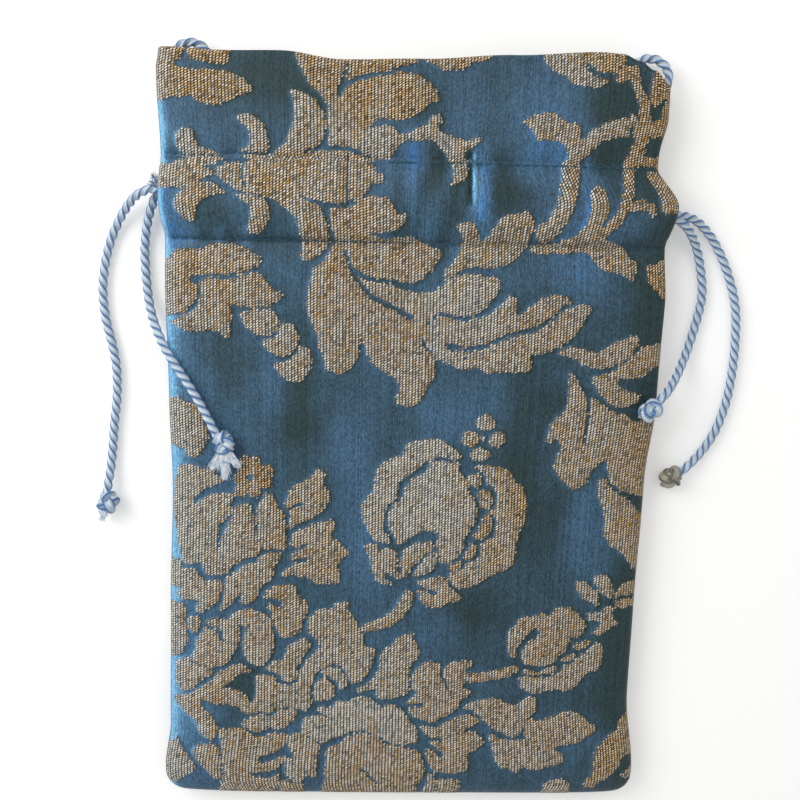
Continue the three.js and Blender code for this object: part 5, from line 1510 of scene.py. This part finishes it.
# Free cord ends: the same satin cord, out of the side openings, over the edge and down on the table or
# the pouch. Each is tied at its end in an overhand knot, pulled tight.
LEFT_EXIT = (-BAG_WIDTH / 2, CHANNEL_MID, 0)
RIGHT_EXIT = (BAG_WIDTH / 2, CHANNEL_MID, 0)
ROUTES = {
    "left_front": (LEFT_EXIT, [
        (1.3, 2.6, 10.15), (-3.8, 2.6, 9.9), (-8.8, 0.8, 7.6), (-13.2, -3.4, 4.1), (-16.8, -9, 2.1),
        (-19.5, -15.4, 1.6), (-21.2, -22.4, 1.6), (-22, -30.4, 1.6), (-21.3, -39.6, 1.6),
        (-19.5, -47.6, 1.6), (-18.3, -54.2, 1.6), (-18, -61, 1.6), (-18.3, -67.1, 1.6),
        (-19.1, -73.9, 1.6), (-19.9, -82.5, 1.6), (-20.7, -90.6, 2.2), (-21.4, -95.6, 3.4),
        (-21.8, -98.5, 3.6),
    ]),
    "left_back": (LEFT_EXIT, [
        (1.3, 2.6, 6.65), (-2.4, 1.5, 6.2), (-5, -2.8, 4.5), (-7, -9, 2.6), (-8, -15.5, 1.6),
        (-8, -22, 1.6), (-7.6, -28, 1.7), (-6.8, -33.6, 2.6), (-5.2, -39, 5), (-2.9, -43.8, 8.2),
        (0.6, -49.6, 11.2), (5.2, -56.2, 12.9), (9.6, -62.8, 13.9), (13.4, -69.4, 14.8),
        (16, -74, 16.1), (17, -75.7, 16.4),
    ]),
    "right_front": (RIGHT_EXIT, [
        (-1.3, -3, 10.15), (2.8, -3.8, 9.8), (6.6, -6.6, 7.8), (10.4, -11.6, 4.2), (13.2, -19, 1.9),
        (14.5, -28.3, 1.6), (13.4, -36, 1.6), (11.5, -43.5, 2), (8.9, -50.2, 4), (5.6, -55.5, 8),
        (1.8, -59.7, 12.4), (0, -61.4, 13.5), (-1.9, -63.3, 13.8),
    ]),
    "right_back": (RIGHT_EXIT, [
        (-1.3, -3, 6.65), (2.8, -2.2, 6.4), (9.6, -3.6, 4.4), (16, -9, 2), (21.6, -18.6, 1.6),
        (25.8, -31, 1.6), (26.8, -43, 1.6), (26.4, -55, 1.6), (24.8, -66, 1.6), (21.6, -75.5, 1.6),
        (17.2, -82.4, 1.8), (12.5, -86.8, 3.3), (9.9, -88.9, 3.6),
    ]),
}
# The tied cord crosses itself three times and is drawn tight: across, along the cord and up.
KNOT_SPREAD = 0.8
KNOT_RISE = 1.3
KNOT_MIDDLE = 2.6
KNOT_SPAN = (2.86 * math.pi, 1.14 * math.pi)
KNOT_GAP = 0.3
KNOT_SWELL = 0.3
KNOT_TURNS = {"left_front": 160, "left_back": 180, "right_front": 90, "right_back": 30}
KNOT = [(0, 0.3, 0)]
for t in np.linspace(*KNOT_SPAN, 26):
    across = KNOT_SPREAD * (math.cos(t) - 2 * math.cos(2 * t) + 0.9)
    forward = KNOT_MIDDLE + KNOT_SPREAD * (math.sin(t) + 2 * math.sin(2 * t))
    KNOT.append((across, forward, KNOT_RISE * math.sin(3 * t)))
KNOT.append((0, 5.9, 0))


def knot_points(path, turn):
    run = path[-1] - path[-4]
    run = run / np.linalg.norm(run)
    side = np.cross(run, (0, 0, 1))
    side = side / np.linalg.norm(side)
    rise = np.cross(side, run)
    c, s = math.cos(turn), math.sin(turn)
    tied = [path[-1] + run * (y + KNOT_GAP) + side * (c * x - s * z) + rise * (s * x + c * z)
            for x, y, z in KNOT]
    return tied, run


cord_ends = {}
cord_lines = {}
tail_places = {}
for name, (start, offsets) in ROUTES.items():
    route = [np.add(start, offset) for offset in offsets]
    path = cord_path(route)
    tied, run = knot_points(path, math.radians(KNOT_TURNS[name]))
    whole = cord_path(list(path[:-3:6]) + [path[-1]] + tied, 0.4)
    free = np.linalg.norm(np.diff(path, axis=0), axis=1).sum()
    gone = np.concatenate([[0], np.cumsum(np.linalg.norm(np.diff(whole, axis=0), axis=1))])
    rings, length = cord_rings(whole, 1 + KNOT_SWELL * ease(free, free + CORD_DIAMETER, gone))
    split = int(np.argmin(np.abs(length - free)))
    free_end = cord_mesh(name + "_cord", rings[:split + 1], length[:split + 1])
    cord_ends[name] = dress_cord(free_end, name + "_end")
    overhand = cord_mesh(name + "_overhand", rings[split:], length[split:])
    finish = greyed_finish if name == "right_back" else cord_finish
    dress_cord(overhand, name + "_knot", finish)
    tail_places[name] = (tied[-1], run)
    cord_lines[name] = path / 1000

# Frayed ends: past the two left knots the strands are loose, as a spread tassel and a short tail.
# Each is a brush of fine filaments that fan out from the knot.
FRAY_STEPS = 7
TASSEL_SUNK = 1.2
TAIL_SUNK = 1


# Each lock of filaments has a count, a heading, a length and its spread at the tips.
# A filament is a three-sided thread that waves a little and thins towards its tip.
def frayed_mesh(name, start, locks, root, height, thickness, seed):
    chance = np.random.default_rng(seed)
    points, faces = [], []
    for count, heading, length, spread in locks:
        run = np.array(heading) / np.linalg.norm(heading)
        side = np.cross(run, (0, 0, 1))
        side = side / np.linalg.norm(side)
        rise = np.cross(side, run)
        for _ in range(count):
            spot = chance.uniform(-1, 1, 2)
            lean = np.clip(chance.normal(0, 0.45), -1, 1)
            reach = length * chance.uniform(0.6, 1.0)
            wave = chance.normal(0, 0.3, 4)
            first = len(points)
            for k in range(FRAY_STEPS):
                t = k / (FRAY_STEPS - 1)
                x = root / 2 * spot[0] * (1 - t) + spread / 2 * lean * t ** 1.2
                x += wave[0] * math.sin(4 * t + wave[2] * 6) * t
                z = height / 2 * spot[1] * (1 - 0.4 * t) + wave[1] * math.sin(4 * t + wave[3] * 6) * t
                middle = start + run * reach * t + side * x + rise * z
                radius = thickness / 2 * (1 - 0.5 * t)
                for angle in (0.5, 2.6, 4.7):
                    points.append(middle + radius * (math.cos(angle) * side + math.sin(angle) * rise))
            for k in range(FRAY_STEPS - 1):
                for c in range(3):
                    near, far = first + 3 * k + c, first + 3 * k + (c + 1) % 3
                    faces.append((near, far, far + 3, near + 3))
            last = first + 3 * (FRAY_STEPS - 1)
            faces += [(first + 2, first + 1, first), (last, last + 1, last + 2)]
    mesh = bpy.data.meshes.new(name)
    mesh.from_pydata((np.array(points) / 1000).tolist(), [], faces)
    return finished_object(name, mesh)


# Loose rayon filaments: soft, matt and nearly white, with blue ones among them.
def filaments(name, pale, deep):
    made = bpy.data.materials.new(name)
    made.use_nodes = True
    tree = made.node_tree
    shader = tree.nodes["Principled BSDF"]
    place = add_node(tree, "ShaderNodeTexCoord").outputs["Object"]
    patch = add_node(tree, "ShaderNodeTexNoise", {0: place, "Scale": 900.0, "Detail": 2.0}).outputs[0]
    spread = add_node(tree, "ShaderNodeMapRange", {0: patch, 1: 0.42, 2: 0.66}).outputs[0]
    mixed = add_node(tree, "ShaderNodeMix", {0: spread, 6: colour(pale), 7: colour(deep)}, data_type="RGBA")
    tree.links.new(mixed.outputs[2], shader.inputs["Base Color"])
    shader.inputs["Roughness"].default_value = 0.7
    shader.inputs["Sheen Weight"].default_value = 0.3
    return made


pale_filaments = filaments("frayed_rayon", "#f0f4f7", "#b4cbe0")
tassel_locks = [(150, (-0.5, -0.87, -0.08), 8.4, 4), (150, (0.02, -1, -0.06), 10.4, 3.4),
                (90, (0.62, -0.78, -0.04), 8, 2.8)]
tail_locks = [(120, (-0.3, -0.95, 0), 5.0, 2.6)]
place, run = tail_places["left_back"]
tassel = frayed_mesh("left_back_fringe", place - run * TASSEL_SUNK, tassel_locks,
                     root=3.8, height=2.6, thickness=0.24, seed=5)
place, run = tail_places["left_front"]
tail = frayed_mesh("left_front_fringe", place - run * TAIL_SUNK, tail_locks,
                   root=3.4, height=2.6, thickness=0.28, seed=9)
for piece, node in ((tassel, "left_back_tassel"), (tail, "left_front_tail")):
    piece.data.materials.append(pale_filaments)
    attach(piece, "root")
    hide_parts(node)
for name, piece in cord_ends.items():
    path = cord_lines[name]

# Raw edge at the left opening: a tuft of loose blue threads of the cloth, above the two cords.
# It was never trimmed, so it stands out from the edge.
TUFT_PLACE = (-81.9, 82.4, 11.2)
edge_filaments = filaments("loose_cloth_threads", "#7f97b3", "#2f4a6c")
tuft_locks = [(24, (-0.55, 0.8, 0.2), 5.4, 2.6), (20, (-0.9, 0.4, 0.1), 4.6, 2),
              (14, (-0.1, 1, 0.2), 4.4, 1.6)]
tuft = frayed_mesh("left_edge_threads", np.array(TUFT_PLACE), tuft_locks,
                   root=2.4, height=1.6, thickness=0.28, seed=3)
tuft.data.materials.append(edge_filaments)
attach(tuft, "root")

# Corner loops: two short loops of the same satin cord, one at the top of each side seam.
# Their legs lie in the mouth between the two sheets, so only the rounded top is seen.
LOOP_RADIUS = 6
LOOP_LEG = 11
LOOP_X = BAG_WIDTH / 2 - 8.2


def corner_loop(name, x, y, degrees, outer_z, inner_z):
    heading = math.radians(degrees)
    side = math.copysign(1, x)
    spots = [(-LOOP_LEG, 1), (-LOOP_LEG / 2, 1), (0, 1)]
    spots += [(LOOP_RADIUS * math.sin(a), math.cos(a)) for a in map(math.radians, (30, 60, 90, 120, 150))]
    spots += [(0, -1), (-LOOP_LEG / 2, -1), (-LOOP_LEG, -1)]
    points = []
    for run, across in spots:
        out = side * across * LOOP_RADIUS
        level = inner_z + (outer_z - inner_z) * (across + 1) / 2
        points.append((x + run * math.cos(heading) + out * math.sin(heading),
                       y + run * math.sin(heading) - out * math.cos(heading), level))
    path = cord_path(points)
    piece = dress_cord(cord_mesh(name + "_cord", *cord_rings(path)), name)


corner_loop("left_corner_loop", -LOOP_X, TOP - 5.2, 90, 5.8, 3.9)
corner_loop("right_corner_loop", LOOP_X, TOP - 6.6, 40, 6.6, 4.2)

# Stage: a white paper floor that keeps the pouch's shadow, and soft daylight from the left.
# The camera hangs above the pouch, a little turned, where the photo was taken from.
FLOOR_LEVEL = -0.6
FLOOR_GLOW = 0.18
SKY_LIGHT = 0.55
SKY_SEEN = 0.45
CAMERA_PLACE = (-15.494, 76.862, 371.180)
CAMERA_PITCH = -0.169543
CAMERA_YAW = -0.0291355
CAMERA_ROLL = -0.0161157
LENS = 50.13

camera_data = bpy.data.cameras.new("camera")
camera_data.lens = LENS
camera_data.sensor_width = 36
camera_data.clip_start = 0.01
camera = bpy.data.objects.new("camera", camera_data)
bpy.context.collection.objects.link(camera)
right, above, ahead = Vector((1, 0, 0)), Vector((0, 1, 0)), Vector((0, 0, -1))
above, ahead = (Matrix.Rotation(CAMERA_PITCH, 3, right) @ v for v in (above, ahead))
right, ahead = (Matrix.Rotation(CAMERA_YAW, 3, above) @ v for v in (right, ahead))
right, above = (Matrix.Rotation(CAMERA_ROLL, 3, ahead) @ v for v in (right, above))
facing = Matrix((right, above, -ahead)).transposed().to_4x4()
camera.matrix_world = Matrix.Translation(Vector(CAMERA_PLACE) / 1000) @ facing
bpy.context.scene.camera = camera

bpy.ops.object.select_all(action="DESELECT")
bpy.ops.mesh.primitive_plane_add(size=4, location=(0, 0, FLOOR_LEVEL / 1000))
floor = bpy.context.object
floor.name = "floor"
bpy.ops.object.transform_apply(location=True, rotation=True, scale=True)
floor_finish = bpy.data.materials.new("white_paper")
floor_finish.use_nodes = True
tree = floor_finish.node_tree
paper = tree.nodes["Principled BSDF"]
paper.inputs["Base Color"].default_value = colour("#f8f8f6")
paper.inputs["Roughness"].default_value = 0.9
paper.inputs["Emission Color"].default_value = (1, 1, 1, 1)
seen = add_node(tree, "ShaderNodeLightPath").outputs["Is Camera Ray"]
glow = add_node(tree, "ShaderNodeMath", {0: seen, 1: FLOOR_GLOW}, operation="MULTIPLY").outputs[0]
tree.links.new(glow, paper.inputs["Emission Strength"])
floor.data.materials.append(floor_finish)
floor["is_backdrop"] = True

world = bpy.data.worlds.new("studio")
bpy.context.scene.world = world
world.use_nodes = True
sky = world.node_tree.nodes["Background"]
sky.inputs["Color"].default_value = (1, 1, 1, 1)
seen = add_node(world.node_tree, "ShaderNodeLightPath").outputs["Is Camera Ray"]
levels = {0: seen, 1: SKY_SEEN, 2: SKY_LIGHT}
strength = add_node(world.node_tree, "ShaderNodeMath", levels, operation="MULTIPLY_ADD").outputs[0]
world.node_tree.links.new(strength, sky.inputs["Strength"])


def soft_light(name, place, aim, size, power):
    light = bpy.data.lights.new(name, "AREA")
    light.size = size
    light.energy = power
    made = bpy.data.objects.new(name, light)
    bpy.context.collection.objects.link(made)
    made.location = place
    made.rotation_euler = (Vector(aim) - Vector(place)).to_track_quat("-Z", "Y").to_euler()


soft_light("window", place=(-0.5, 0.35, 0.5), aim=(0, 0, 0), size=0.5, power=3.2)
soft_light("fill", place=(0.1, 0.4, 1.0), aim=(0, 0, 0), size=0.8, power=1.6)

bpy.context.scene.view_settings.view_transform = "Standard"
low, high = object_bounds()
